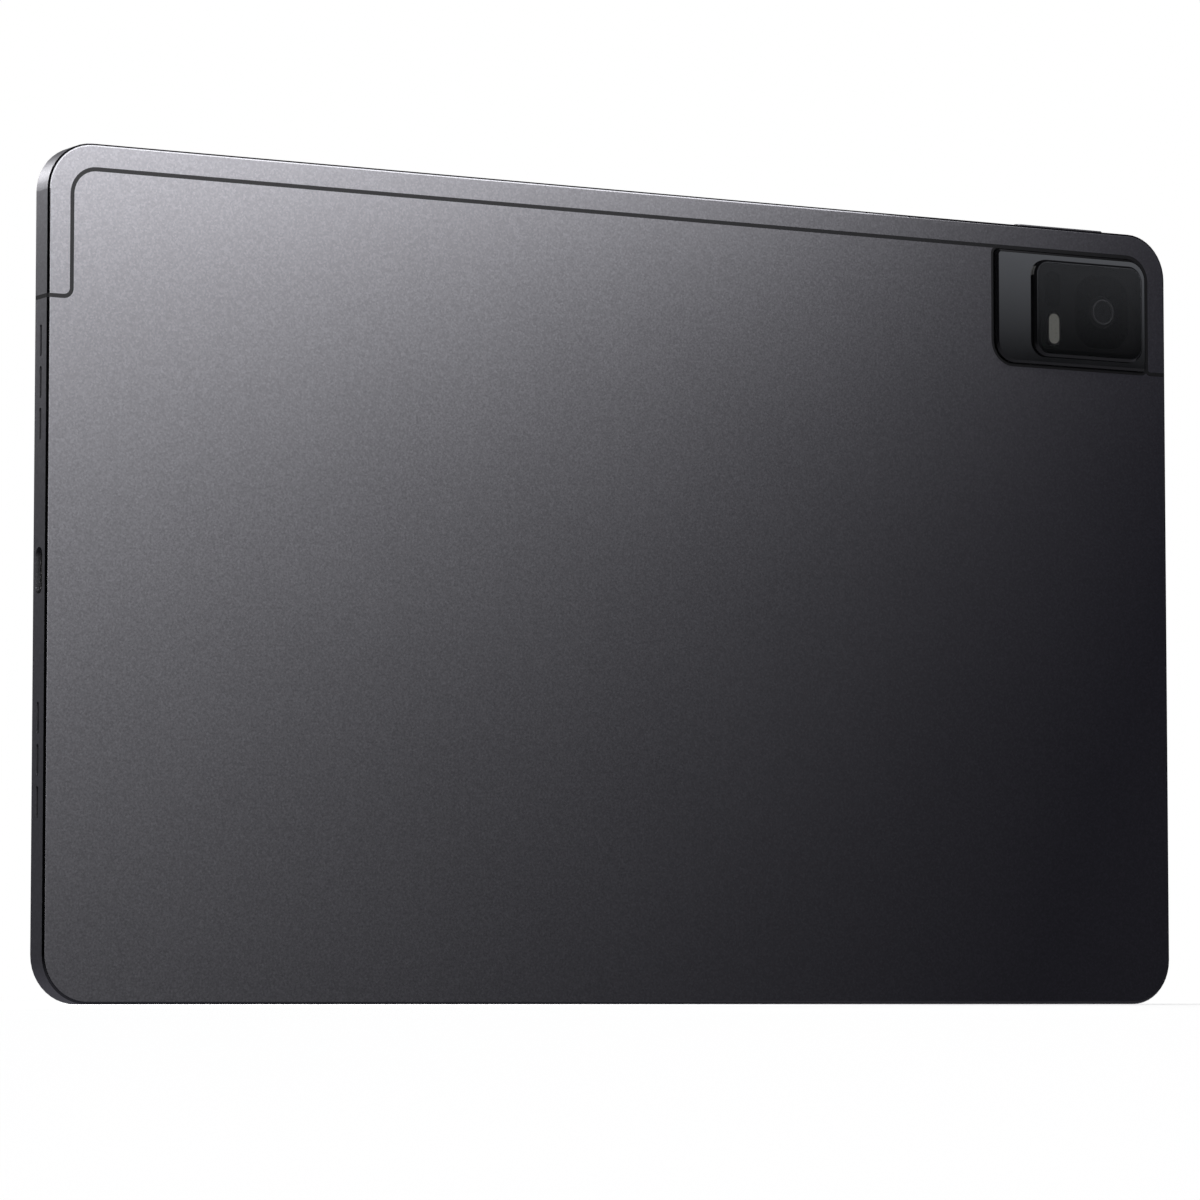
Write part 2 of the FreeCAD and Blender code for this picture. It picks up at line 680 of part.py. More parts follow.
def antenna_insulator(shell):
    seam = shell.common(below_line(-LINE_WIDTH / 2)).cut(below_line(LINE_WIDTH / 2))
    frame = prism(island_outline(-ISLAND_FRAME_WIDTH), "y", PANEL_INNER, BACK)
    frame = frame.common(below_line(LINE_WIDTH / 2))
    ledge_hole = prism(island_outline(PLINTH_GAP + PLINTH_LEDGE), "y", PANEL_INNER, BACK)
    frame = frame.cut(ledge_hole)
    seam = seam.fuse(frame)
    return seam.cut(prism(island_outline(0.0), "y", LEDGE_BACK, BACK + PLINTH_RISE)).removeSplitter()


# ---- camera island ----
def camera_hole(gap):
    """Outline of the camera's can, larger by gap."""
    side = CAN_SIDE + 2 * gap
    return centred(LENS_X, LENS_Z, side, side, CAN_ROUND + gap)


def camera_plinth():
    straight = prism(island_outline(PLINTH_GAP), "y", LEDGE_BACK, PLINTH_BACK - PLINTH_BEVEL)
    bevel = taper(
        island_outline(PLINTH_GAP),
        island_outline(PLINTH_GAP + PLINTH_BEVEL),
        "y",
        PLINTH_BACK - PLINTH_BEVEL,
        PLINTH_BACK,
    )
    seat = prism(module_outline(-MODULE_SEAT_GAP), "y", PLINTH_SEAT, MODULE_BACK)
    hole = prism(camera_hole(CAN_HOLE_GAP), "y", PANEL_INNER, PLINTH_SEAT)
    return fused([straight, bevel]).cut([seat, hole])


def camera_bezel():
    straight = prism(module_outline(0.0), "y", PLINTH_SEAT, MODULE_BACK - MODULE_BEVEL)
    bevel = taper(
        module_outline(0.0),
        module_outline(MODULE_BEVEL),
        "y",
        MODULE_BACK - MODULE_BEVEL,
        MODULE_BACK,
    )
    rim = MODULE_BEVEL + MODULE_RIM
    window_seat = prism(module_outline(rim), "y", WINDOW_FRONT, MODULE_BACK)
    inside = prism(module_outline(rim + MODULE_LEDGE), "y", PLINTH_SEAT, MODULE_BACK)
    return fused([straight, bevel]).cut([window_seat, inside])


def camera_window():
    inset = MODULE_BEVEL + MODULE_RIM + WINDOW_GAP
    glass = prism(module_outline(inset), "y", WINDOW_FRONT, MODULE_BACK)
    growth = 2 * (FLASH_RING_WALL + 2 * FLASH_FIT_GAP)
    hole = capsule(FLASH_X, FLASH_Z, FLASH_WIDTH + growth, FLASH_HEIGHT + growth)
    return glass.cut(prism(hole, "y", WINDOW_FRONT, MODULE_BACK))


def lens_surround():
    plate = centred(LENS_X, LENS_Z, SURROUND_WIDTH, SURROUND_HEIGHT, SURROUND_RADIUS)
    plate = prism(plate, "y", WINDOW_FRONT - SURROUND_THICKNESS, WINDOW_FRONT)
    hole = rod(LENS_X, LENS_Z, BARREL_RADIUS + SURROUND_GAP, "y", CAN_BACK, WINDOW_FRONT)
    return plate.cut(hole)


def rear_camera_can():
    outer = prism(camera_hole(0.0), "y", CAN_FRONT, CAN_BACK)
    inner = prism(camera_hole(-CAN_WALL), "y", CAN_FRONT, CAN_BACK - CAN_WALL)
    hole = rod(LENS_X, LENS_Z, BARREL_RADIUS + BARREL_GAP, "y", CAN_FRONT, CAN_BACK)
    return outer.cut([inner, hole])


def rear_lens_barrel():
    barrel = rod(LENS_X, LENS_Z, BARREL_RADIUS, "y", BARREL_BACK - BARREL_LENGTH, BARREL_BACK)
    baffle = Part.makeCone(
        LENS_RADIUS,
        BAFFLE_RADIUS,
        BAFFLE_DEPTH,
        Vector(LENS_X, BARREL_BACK - BAFFLE_DEPTH, LENS_Z),
        Vector(0, 1, 0),
    )
    bore = rod(LENS_X, LENS_Z, LENS_RADIUS, "y", BARREL_BACK - BARREL_LENGTH, BARREL_BACK)
    return barrel.cut(fused([baffle, bore]))


def rear_lens():
    back = BARREL_BACK - BAFFLE_DEPTH
    disc = rod(LENS_X, LENS_Z, LENS_RADIUS, "y", back - LENS_THICKNESS, back)
    curve = (LENS_RADIUS ** 2 + LENS_CROWN ** 2) / (2 * LENS_CROWN)
    ball = Part.makeSphere(curve, Vector(LENS_X, back - curve, LENS_Z))
    return disc.common(ball)


def rear_sensor_board():
    board = prism(camera_hole(0.0), "y", CAN_FRONT - SENSOR_BOARD_THICKNESS, CAN_FRONT)
    tail = block(
        LENS_X,
        LENS_X + CAN_SIDE / 2 + CAMERA_TAIL_LENGTH,
        CAN_FRONT - SENSOR_BOARD_THICKNESS,
        CAN_FRONT - SENSOR_BOARD_THICKNESS + CAMERA_TAIL_THICKNESS,
        LENS_Z - CAMERA_TAIL_WIDTH / 2,
        LENS_Z + CAMERA_TAIL_WIDTH / 2,
    )
    square = centred(LENS_X, LENS_Z, SENSOR_SIDE, SENSOR_SIDE)
    sensor = prism(square, "y", CAN_FRONT, CAN_FRONT + SENSOR_THICKNESS)
    return group([fused([board, tail]), sensor])


def flash_ring():
    wall = FLASH_RING_WALL + FLASH_FIT_GAP
    outer = capsule(FLASH_X, FLASH_Z, FLASH_WIDTH + 2 * wall, FLASH_HEIGHT + 2 * wall)
    inner = capsule(
        FLASH_X,
        FLASH_Z,
        FLASH_WIDTH + 2 * FLASH_FIT_GAP,
        FLASH_HEIGHT + 2 * FLASH_FIT_GAP,
    )
    back = MODULE_BACK - FLASH_SINK
    return prism(outer, "y", FLASH_BOARD_BACK, back).cut(prism(inner, "y", FLASH_BOARD_BACK, back))


def flash_lens():
    back = MODULE_BACK - FLASH_SINK
    shape = capsule(FLASH_X, FLASH_Z, FLASH_WIDTH, FLASH_HEIGHT)
    return prism(shape, "y", back - FLASH_LENS_THICKNESS, back)


def flash_board():
    wall = FLASH_RING_WALL + FLASH_BOARD_MARGIN
    shape = centred(FLASH_X, FLASH_Z, FLASH_WIDTH + 2 * wall, FLASH_HEIGHT + 2 * wall)
    return prism(shape, "y", PLINTH_SEAT, FLASH_BOARD_BACK)


def flash_leds():
    leds = []
    for side in (-1, 1):
        square = centred(FLASH_X, FLASH_Z + side * LED_SPACING / 2, LED_SIDE, LED_SIDE)
        leds.append(prism(square, "y", FLASH_BOARD_BACK, FLASH_BOARD_BACK + LED_THICKNESS))
    return group(leds)


def sensor_cover():
    shape = capsule(FLASH_X, SENSOR_COVER_Z, SENSOR_COVER_WIDTH, SENSOR_COVER_HEIGHT)
    return prism(shape, "y", WINDOW_FRONT - SENSOR_COVER_THICKNESS, WINDOW_FRONT)


def light_sensor():
    shape = centred(FLASH_X, SENSOR_COVER_Z, LIGHT_SENSOR_SIDE, LIGHT_SENSOR_SIDE)
    return prism(shape, "y", PLINTH_SEAT, PLINTH_SEAT + LIGHT_SENSOR_THICKNESS)


# ---- display side ----
def cover_glass():
    inset = LIP_INSET + GLASS_GAP
    plate = prism(body_outline(inset), "y", FRONT, GLASS_BACK)
    front_face = min(plate.Faces, key=lambda face: face.CenterOfMass.y)
    return plate.makeFillet(GLASS_EDGE_ROUND, front_face.Edges)


def lcd_outline(inset):
    return rectangle(inset - LCD_X, LCD_X - inset, LCD_BOTTOM + inset, LCD_TOP - inset)


def display_adhesive():
    return prism(lcd_outline(0.0), "y", GLASS_BACK, LCD_FRONT)


def lcd_panel():
    return prism(lcd_outline(0.0), "y", LCD_FRONT, LCD_BACK)


def backlight():
    return prism(lcd_outline(BACKLIGHT_INSET), "y", LCD_BACK, BACKLIGHT_BACK)


def front_camera_place():
    return 0.0, BODY_HEIGHT - FRONT_CAMERA_DROP


def front_camera_cut():
    x, z = front_camera_place()
    side = FRONT_CAMERA_SIDE + 2 * FRONT_CAMERA_GAP
    return prism(centred(x, z, side, side), "y", FRONT, PANEL_INNER)


def front_bezel():
    ring = prism(body_outline(LIP_INSET + BEZEL_GAP), "y", GLASS_BACK, BEZEL_BACK)
    opening = prism(lcd_outline(-LCD_CLEARANCE), "y", GLASS_BACK, BEZEL_BACK)
    x, z = front_camera_place()
    lens_hole = rod(x, z, FRONT_LENS_RADIUS + FRONT_CAMERA_GAP, "y", GLASS_BACK, BEZEL_BACK)
    return ring.cut([opening, lens_hole])


def bezel_tape():
    outer = prism(body_outline(LIP_INSET + BEZEL_TAPE_MARGIN), "y", BEZEL_BACK, POCKET_FLOOR)
    return outer.cut(prism(body_outline(RAIL_WALL), "y", BEZEL_BACK, POCKET_FLOOR))


def key_bay_power():
    half = POWER_LENGTH / 2 + KEY_FLANGE_MARGIN + KEY_BAY_GAP + KEY_FLEX_MARGIN
    inner = POWER_FLANGE_INNER - KEY_NUB_LENGTH - DOME_GAP - DOME_THICKNESS
    inner -= KEY_FLEX_THICKNESS + KEY_BRACKET_THICKNESS + KEY_BAY_GAP
    return block(-HALF_WIDTH, -inner, BACKLIGHT_BACK, PANEL_INNER, POWER_Z - half, POWER_Z + half)


def key_bay_rocker():
    half = ROCKER_LENGTH / 2 + KEY_FLANGE_MARGIN + KEY_BAY_GAP + KEY_FLEX_MARGIN
    low = ROCKER_FLANGE_BOTTOM - KEY_NUB_LENGTH - DOME_GAP - DOME_THICKNESS
    low -= KEY_FLEX_THICKNESS + KEY_BRACKET_THICKNESS + KEY_BAY_GAP
    return block(ROCKER_X - half, ROCKER_X + half, BACKLIGHT_BACK, PANEL_INNER, low, BODY_HEIGHT)


def mid_frame():
    plate = prism(body_outline(RAIL_WALL + MID_FRAME_GAP), "y", BACKLIGHT_BACK, MID_FRAME_BACK)
    port = block(
        PORT_BACK - PORT_BACK_THICKNESS - MID_FRAME_GAP,
        HALF_WIDTH,
        BACKLIGHT_BACK,
        MID_FRAME_BACK,
        MID_HEIGHT - PORT_SHELL_WIDTH / 2 - MID_FRAME_GAP,
        MID_HEIGHT + PORT_SHELL_WIDTH / 2 + MID_FRAME_GAP,
    )
    x0, x1 = display_flex_span()
    flex = block(
        x0 - MID_FRAME_GAP,
        x1 + MID_FRAME_GAP,
        BACKLIGHT_BACK,
        MID_FRAME_BACK,
        LCD_BOTTOM - FLEX_THICKNESS - MID_FRAME_GAP,
        LCD_BOTTOM + MID_FRAME_GAP,
    )
    bottom, top = frame_screw_places()
    radius = SCREW_SHAFT_RADIUS + SCREW_HOLE_GAP
    holes = [rod(x, z, radius, "y", BACKLIGHT_BACK, MID_FRAME_BACK) for x, z in bottom + top]
    cuts = [port, flex, front_camera_cut(), key_bay_power(), key_bay_rocker()]
    return plate.cut(cuts + holes)


def display_flex_span():
    middle = (BOARD_LEFT + BOARD_RIGHT) / 2
    return middle - DISPLAY_FLEX_WIDTH / 2, middle + DISPLAY_FLEX_WIDTH / 2


def display_flex():
    x0, x1 = display_flex_span()
    front = MID_FRAME_BACK + FLEX_GAP
    low = LCD_BOTTOM - FLEX_THICKNESS
    middle = (LCD_FRONT + LCD_BACK) / 2
    leg = block(x0, x1, middle, front + FLEX_THICKNESS, low, LCD_BOTTOM)
    run = block(x0, x1, front, front + FLEX_THICKNESS, low, DISPLAY_FLEX_TOP)
    plug = block(
        x0 + FLEX_OVERLAP,
        x1 - FLEX_OVERLAP,
        front,
        BOARD_FRONT,
        DISPLAY_FLEX_TOP - FLEX_OVERLAP,
        DISPLAY_FLEX_TOP,
    )
    return fused([leg, run, plug])


def front_camera():
    x, z = front_camera_place()
    front = GLASS_BACK + FRONT_CAMERA_TO_GLASS
    square = centred(x, z, FRONT_CAMERA_SIDE, FRONT_CAMERA_SIDE)
    return prism(square, "y", front, front + FRONT_CAMERA_DEPTH)


def front_camera_lens():
    x, z = front_camera_place()
    back = GLASS_BACK + FRONT_CAMERA_TO_GLASS
    return rod(x, z, FRONT_LENS_RADIUS, "y", back - FRONT_LENS_LENGTH, back)


# ---- fasteners ----
def screw(x, z, head_radius, seat, length):
    head = rod(x, z, head_radius, "y", seat - SCREW_HEAD_THICKNESS, seat)
    shaft = rod(x, z, SCREW_SHAFT_RADIUS, "y", seat, seat + length)
    return fused([head, shaft])


def frame_screws():
    bottom, top = frame_screw_places()
    return group([
        screw(x, z, FRAME_SCREW_HEAD_RADIUS, BACKLIGHT_BACK, FRAME_SCREW_LENGTH)
        for x, z in bottom + top
    ])


def board_screws():
    length = BOARD_THICKNESS + BOARD_SCREW_LENGTH
    return group([
        screw(x, z, BOARD_SCREW_HEAD_RADIUS, BOARD_FRONT, length)
        for x, z in board_screw_places()
    ])


# ---- battery and boards ----
def battery_spans():
    width = (BATTERY_RIGHT - BATTERY_LEFT - BATTERY_GAP) / 2
    middle = BATTERY_LEFT + width
    return (BATTERY_LEFT, middle), (middle + BATTERY_GAP, BATTERY_RIGHT)


def battery_cell(span):
    shape = rectangle(span[0], span[1], BATTERY_BOTTOM, BATTERY_TOP, BATTERY_ROUND)
    return prism(shape, "y", BATTERY_FRONT, BATTERY_BACK)


def battery_pads():
    pads = []
    for x0, x1 in battery_spans():
        shape = rectangle(
            x0 + PAD_MARGIN,
            x1 - PAD_MARGIN,
            BATTERY_BOTTOM + PAD_MARGIN,
            BATTERY_TOP - PAD_MARGIN,
        )
        pads.append(prism(shape, "y", BATTERY_BACK, PANEL_INNER))
    return group(pads)


def guard_front():
    return MID_FRAME_BACK + GUARD_FRONT


def battery_guard_board():
    low = BATTERY_TOP + GUARD_GAP
    front = guard_front()
    board = block(BATTERY_LEFT, BATTERY_RIGHT, front, front + GUARD_THICKNESS, low, low + GUARD_HEIGHT)
    tabs = []
    for x0, x1 in battery_spans():
        middle = (x0 + x1) / 2
        tabs.append(block(
            middle - LEAD_WIDTH,
            middle + LEAD_WIDTH,
            front,
            front + LEAD_THICKNESS,
            BATTERY_TOP,
            low,
        ))
    return fused([board] + tabs)


def battery_lead():
    low = BATTERY_TOP + GUARD_GAP + (GUARD_HEIGHT - LEAD_WIDTH) / 2
    front = guard_front() - LEAD_THICKNESS
    strip = block(
        BOARD_RIGHT - LEAD_OVERLAP,
        BATTERY_LEFT + LEAD_OVERLAP,
        front,
        front + LEAD_THICKNESS,
        low,
        low + LEAD_WIDTH,
    )
    plug = block(
        BOARD_RIGHT - LEAD_OVERLAP,
        BOARD_RIGHT - LEAD_OVERLAP + LEAD_WIDTH,
        front,
        BOARD_FRONT,
        low,
        low + LEAD_WIDTH,
    )
    return fused([strip, plug])


def main_board():
    corners = [
        (BOARD_LEFT, BOARD_BOTTOM, 0.0),
        (BOARD_RIGHT, BOARD_BOTTOM, 0.0),
        (BOARD_RIGHT, BOARD_TOP, 0.0),
        (BOARD_NOTCH_LEFT, BOARD_TOP, 0.0),
        (BOARD_NOTCH_LEFT, BOARD_NOTCH_BOTTOM, 0.0),
        (BOARD_LEFT, BOARD_NOTCH_BOTTOM, 0.0),
    ]
    radius = SCREW_SHAFT_RADIUS + SCREW_HOLE_GAP
    holes = [rod(x, z, radius, "y", BOARD_FRONT, BOARD_BACK) for x, z in board_screw_places()]
    return prism(corners, "y", BOARD_FRONT, BOARD_BACK).cut(holes)


def shield_spans():
    """(x0, x1, z0, z1) of the two metal cans on the main board."""
    x0 = BOARD_RIGHT - (BOARD_RIGHT - BOARD_LEFT + SHIELD_WIDTH) / 2
    upper = SHIELD_BOTTOM + SHIELD_LOWER_HEIGHT + SHIELD_SPACING
    x1 = x0 + SHIELD_WIDTH
    return [
        (x0, x1, SHIELD_BOTTOM, SHIELD_BOTTOM + SHIELD_LOWER_HEIGHT),
        (x0, x1, upper, upper + SHIELD_UPPER_HEIGHT),
    ]


def board_shields():
    cans = []
    for x0, x1, z0, z1 in shield_spans():
        front = BOARD_FRONT - SHIELD_HEIGHT
        outer = block(x0, x1, front, BOARD_FRONT, z0, z1)
        inner = block(
            x0 + SHIELD_WALL,
            x1 - SHIELD_WALL,
            front + SHIELD_WALL,
            BOARD_FRONT,
            z0 + SHIELD_WALL,
            z1 - SHIELD_WALL,
        )
        cans.append(outer.cut(inner))
    return group(cans)


def board_chips():
    chips = []
    for x0, x1, z0, z1 in shield_spans():
        middle = (z0 + z1) / 2
        for side in (-1, 1):
            x = (x0 + x1) / 2 + side * (CHIP_SIDE + CHIP_GAP) / 2
            square = centred(x, middle, CHIP_SIDE, CHIP_SIDE)
            chips.append(prism(square, "y", BOARD_FRONT - CHIP_THICKNESS, BOARD_FRONT))
    return group(chips)


def main_flex():
    """Flat lead behind both boards: along under the battery, then up to the port's board."""
    front = BOARD_BACK + FLEX_GAP
    back = front + FLEX_THICKNESS
    right = SPEAKER_FRONT - SPEAKER_LENGTH - FLEX_SIDE_GAP
    left = BOARD_RIGHT - FLEX_BOARD_REACH
    top = MID_HEIGHT - USB_BOARD_HALF + FLEX_OVERLAP
    along = block(left, right, front, back, FLEX_BOTTOM, FLEX_BOTTOM + FLEX_WIDTH)
    up = block(right - FLEX_WIDTH, right, front, back, FLEX_BOTTOM, top)
    foot = block(left, left + FLEX_WIDTH, front, back, FLEX_BOTTOM, BOARD_BOTTOM + FLEX_OVERLAP)
    return fused([along, up, foot])


# ---- charging port ----
def usb_board():
    low, high = MID_HEIGHT - USB_BOARD_HALF, MID_HEIGHT + USB_BOARD_HALF
    inner = INNER_SIDE - USB_BOARD_GAP
    board = block(USB_BOARD_LEFT, inner, BOARD_FRONT, BOARD_BACK, low, high)
    notch = block(
        PORT_BACK - PORT_BACK_THICKNESS - USB_BOARD_NOTCH_GAP,
        HALF_WIDTH,
        BOARD_FRONT,
        BOARD_BACK,
        MID_HEIGHT - PORT_SHELL_WIDTH / 2 - USB_BOARD_NOTCH_GAP,
        MID_HEIGHT + PORT_SHELL_WIDTH / 2 + USB_BOARD_NOTCH_GAP,
    )
    return board.cut(notch)


def port_outline(inset):
    return capsule(
        RAIL_CENTRE,
        MID_HEIGHT,
        PORT_SHELL_HEIGHT - 2 * inset,
        PORT_SHELL_WIDTH - 2 * inset,
    )


def usb_shell():
    outer = prism(port_outline(0.0), "x", PORT_BACK, PORT_FRONT)
    return outer.cut(prism(port_outline(PORT_SHELL_WALL), "x", PORT_BACK, PORT_FRONT))


def usb_tongue():
    base = prism(port_outline(0.0), "x", PORT_BACK - PORT_BACK_THICKNESS, PORT_BACK)
    tongue = block(
        PORT_BACK,
        PORT_FRONT - TONGUE_SETBACK,
        RAIL_CENTRE - TONGUE_THICKNESS / 2,
        RAIL_CENTRE + TONGUE_THICKNESS / 2,
        MID_HEIGHT - TONGUE_WIDTH / 2,
        MID_HEIGHT + TONGUE_WIDTH / 2,
    )
    return fused([base, tongue])


def usb_contacts():
    strips = []
    x1 = PORT_FRONT - TONGUE_SETBACK - CONTACT_SETBACK
    for face in (-1, 1):
        level = RAIL_CENTRE + face * TONGUE_THICKNESS / 2
        y0, y1 = sorted((level, level + face * CONTACT_THICKNESS))
        for i in range(CONTACTS_PER_FACE):
            z = MID_HEIGHT + (i - (CONTACTS_PER_FACE - 1) / 2) * CONTACT_PITCH
            half = CONTACT_WIDTH / 2
            strips.append(block(x1 - CONTACT_LENGTH, x1, y0, y1, z - half, z + half))
    return group(strips)


# ---- speakers ----
def speaker(side, middle):
    """Closed sound box with a port towards the grille."""
    x0, x1 = side_span(side, SPEAKER_FRONT - SPEAKER_LENGTH, SPEAKER_FRONT)
    y0 = MID_FRAME_BACK + SPEAKER_FRONT_GAP
    y1 = PANEL_INNER - SPEAKER_BACK_GAP
    low, high = middle - SPEAKER_HALF, middle + SPEAKER_HALF
    outer = block(x0, x1, y0, y1, low, high)
    wall = SPEAKER_WALL
    inner = block(x0 + wall, x1 - wall, y0 + wall, y1 - wall, low + wall, high - wall)
    p0, p1 = side_span(side, SPEAKER_FRONT - SPEAKER_LENGTH / 2, SPEAKER_FRONT)
    port = block(
        p0,
        p1,
        RAIL_CENTRE - SPEAKER_PORT_HEIGHT / 2,
        RAIL_CENTRE + SPEAKER_PORT_HEIGHT / 2,
        middle - GRILLE_LENGTH / 2,
        middle + GRILLE_LENGTH / 2,
    )
    return outer.cut(fused([inner, port]))


def speaker_meshes():
    meshes = []
    for side, middle in grille_places().values():
        x0, x1 = side_span(side, INNER_SIDE - MESH_THICKNESS, INNER_SIDE)
        shape = centred(RAIL_CENTRE, middle, MESH_HEIGHT, GRILLE_LENGTH + MESH_MARGIN)
        meshes.append(prism(shape, "x", x0, x1))
    return group(meshes)


# ---- power button ----
def power_button():
    """Cap through the rail, with a flange inside that keeps it in and a nub for its switch."""
    outer = HALF_WIDTH + POWER_PROUD
    cap_outline = capsule(
        RAIL_CENTRE,
        POWER_Z,
        POWER_WIDTH - 2 * POWER_CLEARANCE,
        POWER_LENGTH - 2 * POWER_CLEARANCE,
    )
    flange_top = POWER_FLANGE_INNER + KEY_FLANGE_THICKNESS
    cap = prism(cap_outline, "x", -outer, -flange_top)
    face = min(cap.Faces, key=lambda f: f.CenterOfMass.x)
    cap = cap.makeFillet(KEY_EDGE_ROUND, face.Edges)
    flange = prism(
        centred(
            RAIL_CENTRE,
            POWER_Z,
            POWER_WIDTH + 2 * KEY_FLANGE_MARGIN,
            POWER_LENGTH + 2 * KEY_FLANGE_MARGIN,
            KEY_FLANGE_MARGIN,
        ),
        "x",
        -flange_top,
        -POWER_FLANGE_INNER,
    )
    nub = rod(
        RAIL_CENTRE,
        POWER_Z,
        KEY_NUB_RADIUS,
        "x",
        -POWER_FLANGE_INNER,
        KEY_NUB_LENGTH - POWER_FLANGE_INNER,
    )
    return fused([cap, flange, nub])


def power_dome_front():
    """Distance from the middle plane to the face of the switch that the nub presses."""
    return POWER_FLANGE_INNER - KEY_NUB_LENGTH - DOME_GAP


def power_dome():
    front = power_dome_front()
    return Part.makeCone(
        DOME_RADIUS / 2,
        DOME_RADIUS,
        DOME_THICKNESS,
        Vector(-front, RAIL_CENTRE, POWER_Z),
        Vector(1, 0, 0),
    )


def power_flex():
    front = power_dome_front() - DOME_THICKNESS
    shape = centred(RAIL_CENTRE, POWER_Z, KEY_FLEX_WIDTH, POWER_LENGTH + KEY_FLEX_MARGIN)
    return prism(shape, "x", -front, KEY_FLEX_THICKNESS - front)


def key_bracket_y():
    return RAIL_CENTRE - KEY_BRACKET_FRONT, PANEL_INNER


def power_bracket():
    front = power_dome_front() - DOME_THICKNESS - KEY_FLEX_THICKNESS
    y0, y1 = key_bracket_y()
    half = (POWER_LENGTH + KEY_FLEX_MARGIN) / 2
    return block(-front, KEY_BRACKET_THICKNESS - front, y0, y1, POWER_Z - half, POWER_Z + half)


# ---- volume rocker ----
def volume_rocker():
    """Long cap that tilts about a round rib under its middle to press either switch."""
    cap_outline = capsule(
        ROCKER_X,
        RAIL_CENTRE,
        ROCKER_LENGTH - 2 * ROCKER_CLEARANCE,
        ROCKER_WIDTH - 2 * ROCKER_CLEARANCE,
    )
    flange_top = ROCKER_FLANGE_BOTTOM + KEY_FLANGE_THICKNESS
    cap = prism(cap_outline, "z", flange_top, BODY_HEIGHT + ROCKER_PROUD)
    face = max(cap.Faces, key=lambda f: f.CenterOfMass.z)
    cap = cap.makeFillet(KEY_EDGE_ROUND, face.Edges)
    flange = prism(
        centred(
            ROCKER_X,
            RAIL_CENTRE,
            ROCKER_LENGTH + 2 * KEY_FLANGE_MARGIN,
            ROCKER_WIDTH + 2 * KEY_FLANGE_MARGIN,
            KEY_FLANGE_MARGIN,
        ),
        "z",
        ROCKER_FLANGE_BOTTOM,
        flange_top,
    )
    rib_radius = KEY_NUB_LENGTH + DOME_GAP + DOME_THICKNESS - PIVOT_GAP
    rib = rod(
        ROCKER_X,
        ROCKER_FLANGE_BOTTOM,
        rib_radius,
        "y",
        RAIL_CENTRE - ROCKER_WIDTH / 2,
        RAIL_CENTRE + ROCKER_WIDTH / 2,
    )
    below = block(
        ROCKER_X - rib_radius,
        ROCKER_X + rib_radius,
        RAIL_CENTRE - ROCKER_WIDTH,
        RAIL_CENTRE + ROCKER_WIDTH,
        ROCKER_FLANGE_BOTTOM - rib_radius,
        ROCKER_FLANGE_BOTTOM,
    )
    nubs = [
        rod(
            ROCKER_X + side * ROCKER_DOME_SPACING / 2,
            RAIL_CENTRE,
            KEY_NUB_RADIUS,
            "z",
            ROCKER_FLANGE_BOTTOM - KEY_NUB_LENGTH,
            ROCKER_FLANGE_BOTTOM,
        )
        for side in (-1, 1)
    ]
    return fused([cap, flange, rib.common(below)] + nubs)


def rocker_dome_top():
    return ROCKER_FLANGE_BOTTOM - KEY_NUB_LENGTH - DOME_GAP


def volume_domes():
    bottom = rocker_dome_top() - DOME_THICKNESS
    domes = []
    for side in (-1, 1):
        x = ROCKER_X + side * ROCKER_DOME_SPACING / 2
        domes.append(Part.makeCone(
            DOME_RADIUS,
            DOME_RADIUS / 2,
            DOME_THICKNESS,
            Vector(x, RAIL_CENTRE, bottom),
        ))
    return group(domes)


def volume_flex():
    top = rocker_dome_top() - DOME_THICKNESS
    shape = centred(ROCKER_X, RAIL_CENTRE, ROCKER_LENGTH + KEY_FLEX_MARGIN, KEY_FLEX_WIDTH)
    return prism(shape, "z", top - KEY_FLEX_THICKNESS, top)


def volume_bracket():
    top = rocker_dome_top() - DOME_THICKNESS - KEY_FLEX_THICKNESS
    y0, y1 = key_bracket_y()
    half = (ROCKER_LENGTH + KEY_FLEX_MARGIN) / 2
    return block(ROCKER_X - half, ROCKER_X + half, y0, y1, top - KEY_BRACKET_THICKNESS, top)


# ---- card tray ----
def tray_head_outline(inset):
    return capsule(
        RAIL_CENTRE,
        MID_HEIGHT,
        TRAY_HEAD_WIDTH - 2 * inset,
        TRAY_HEAD_LENGTH - 2 * inset,
    )


def eject_hole():
    reach = HALF_WIDTH + TRAY_LENGTH
    z = MID_HEIGHT + EJECT_HOLE_OFFSET
    return rod(RAIL_CENTRE, z, EJECT_HOLE_RADIUS, "x", -reach, TRAY_HEAD_THICKNESS - INNER_SIDE)


def card_tray():
    """Head flush with the rail, a neck for the seal, and a plate with a pocket for the card."""
    neck_start = TRAY_HEAD_THICKNESS - HALF_WIDTH
    plate_start = neck_start + TRAY_NECK_LENGTH
    head = prism(tray_head_outline(TRAY_CLEARANCE), "x", -HALF_WIDTH, neck_start)
    neck_inset = TRAY_CLEARANCE + TRAY_NECK_INSET
    neck = prism(tray_head_outline(neck_inset), "x", neck_start, plate_start)
    low = MID_HEIGHT + TRAY_OFFSET - TRAY_WIDTH / 2
    plate = block(
        plate_start,
        plate_start + TRAY_LENGTH,
        RAIL_CENTRE - TRAY_THICKNESS / 2,
        RAIL_CENTRE + TRAY_THICKNESS / 2,
        low,
        low + TRAY_WIDTH,
    )
    margin = (TRAY_WIDTH - CARD_WIDTH) / 2
    pocket = block(
        plate_start + CARD_SETBACK,
        plate_start + CARD_SETBACK + CARD_LENGTH,
        RAIL_CENTRE - TRAY_THICKNESS / 2,
        RAIL_CENTRE - TRAY_THICKNESS / 2 + CARD_DEPTH,
        low + margin,
        low + TRAY_WIDTH - margin,
    )
    return fused([head, neck, plate]).cut([pocket, eject_hole()])


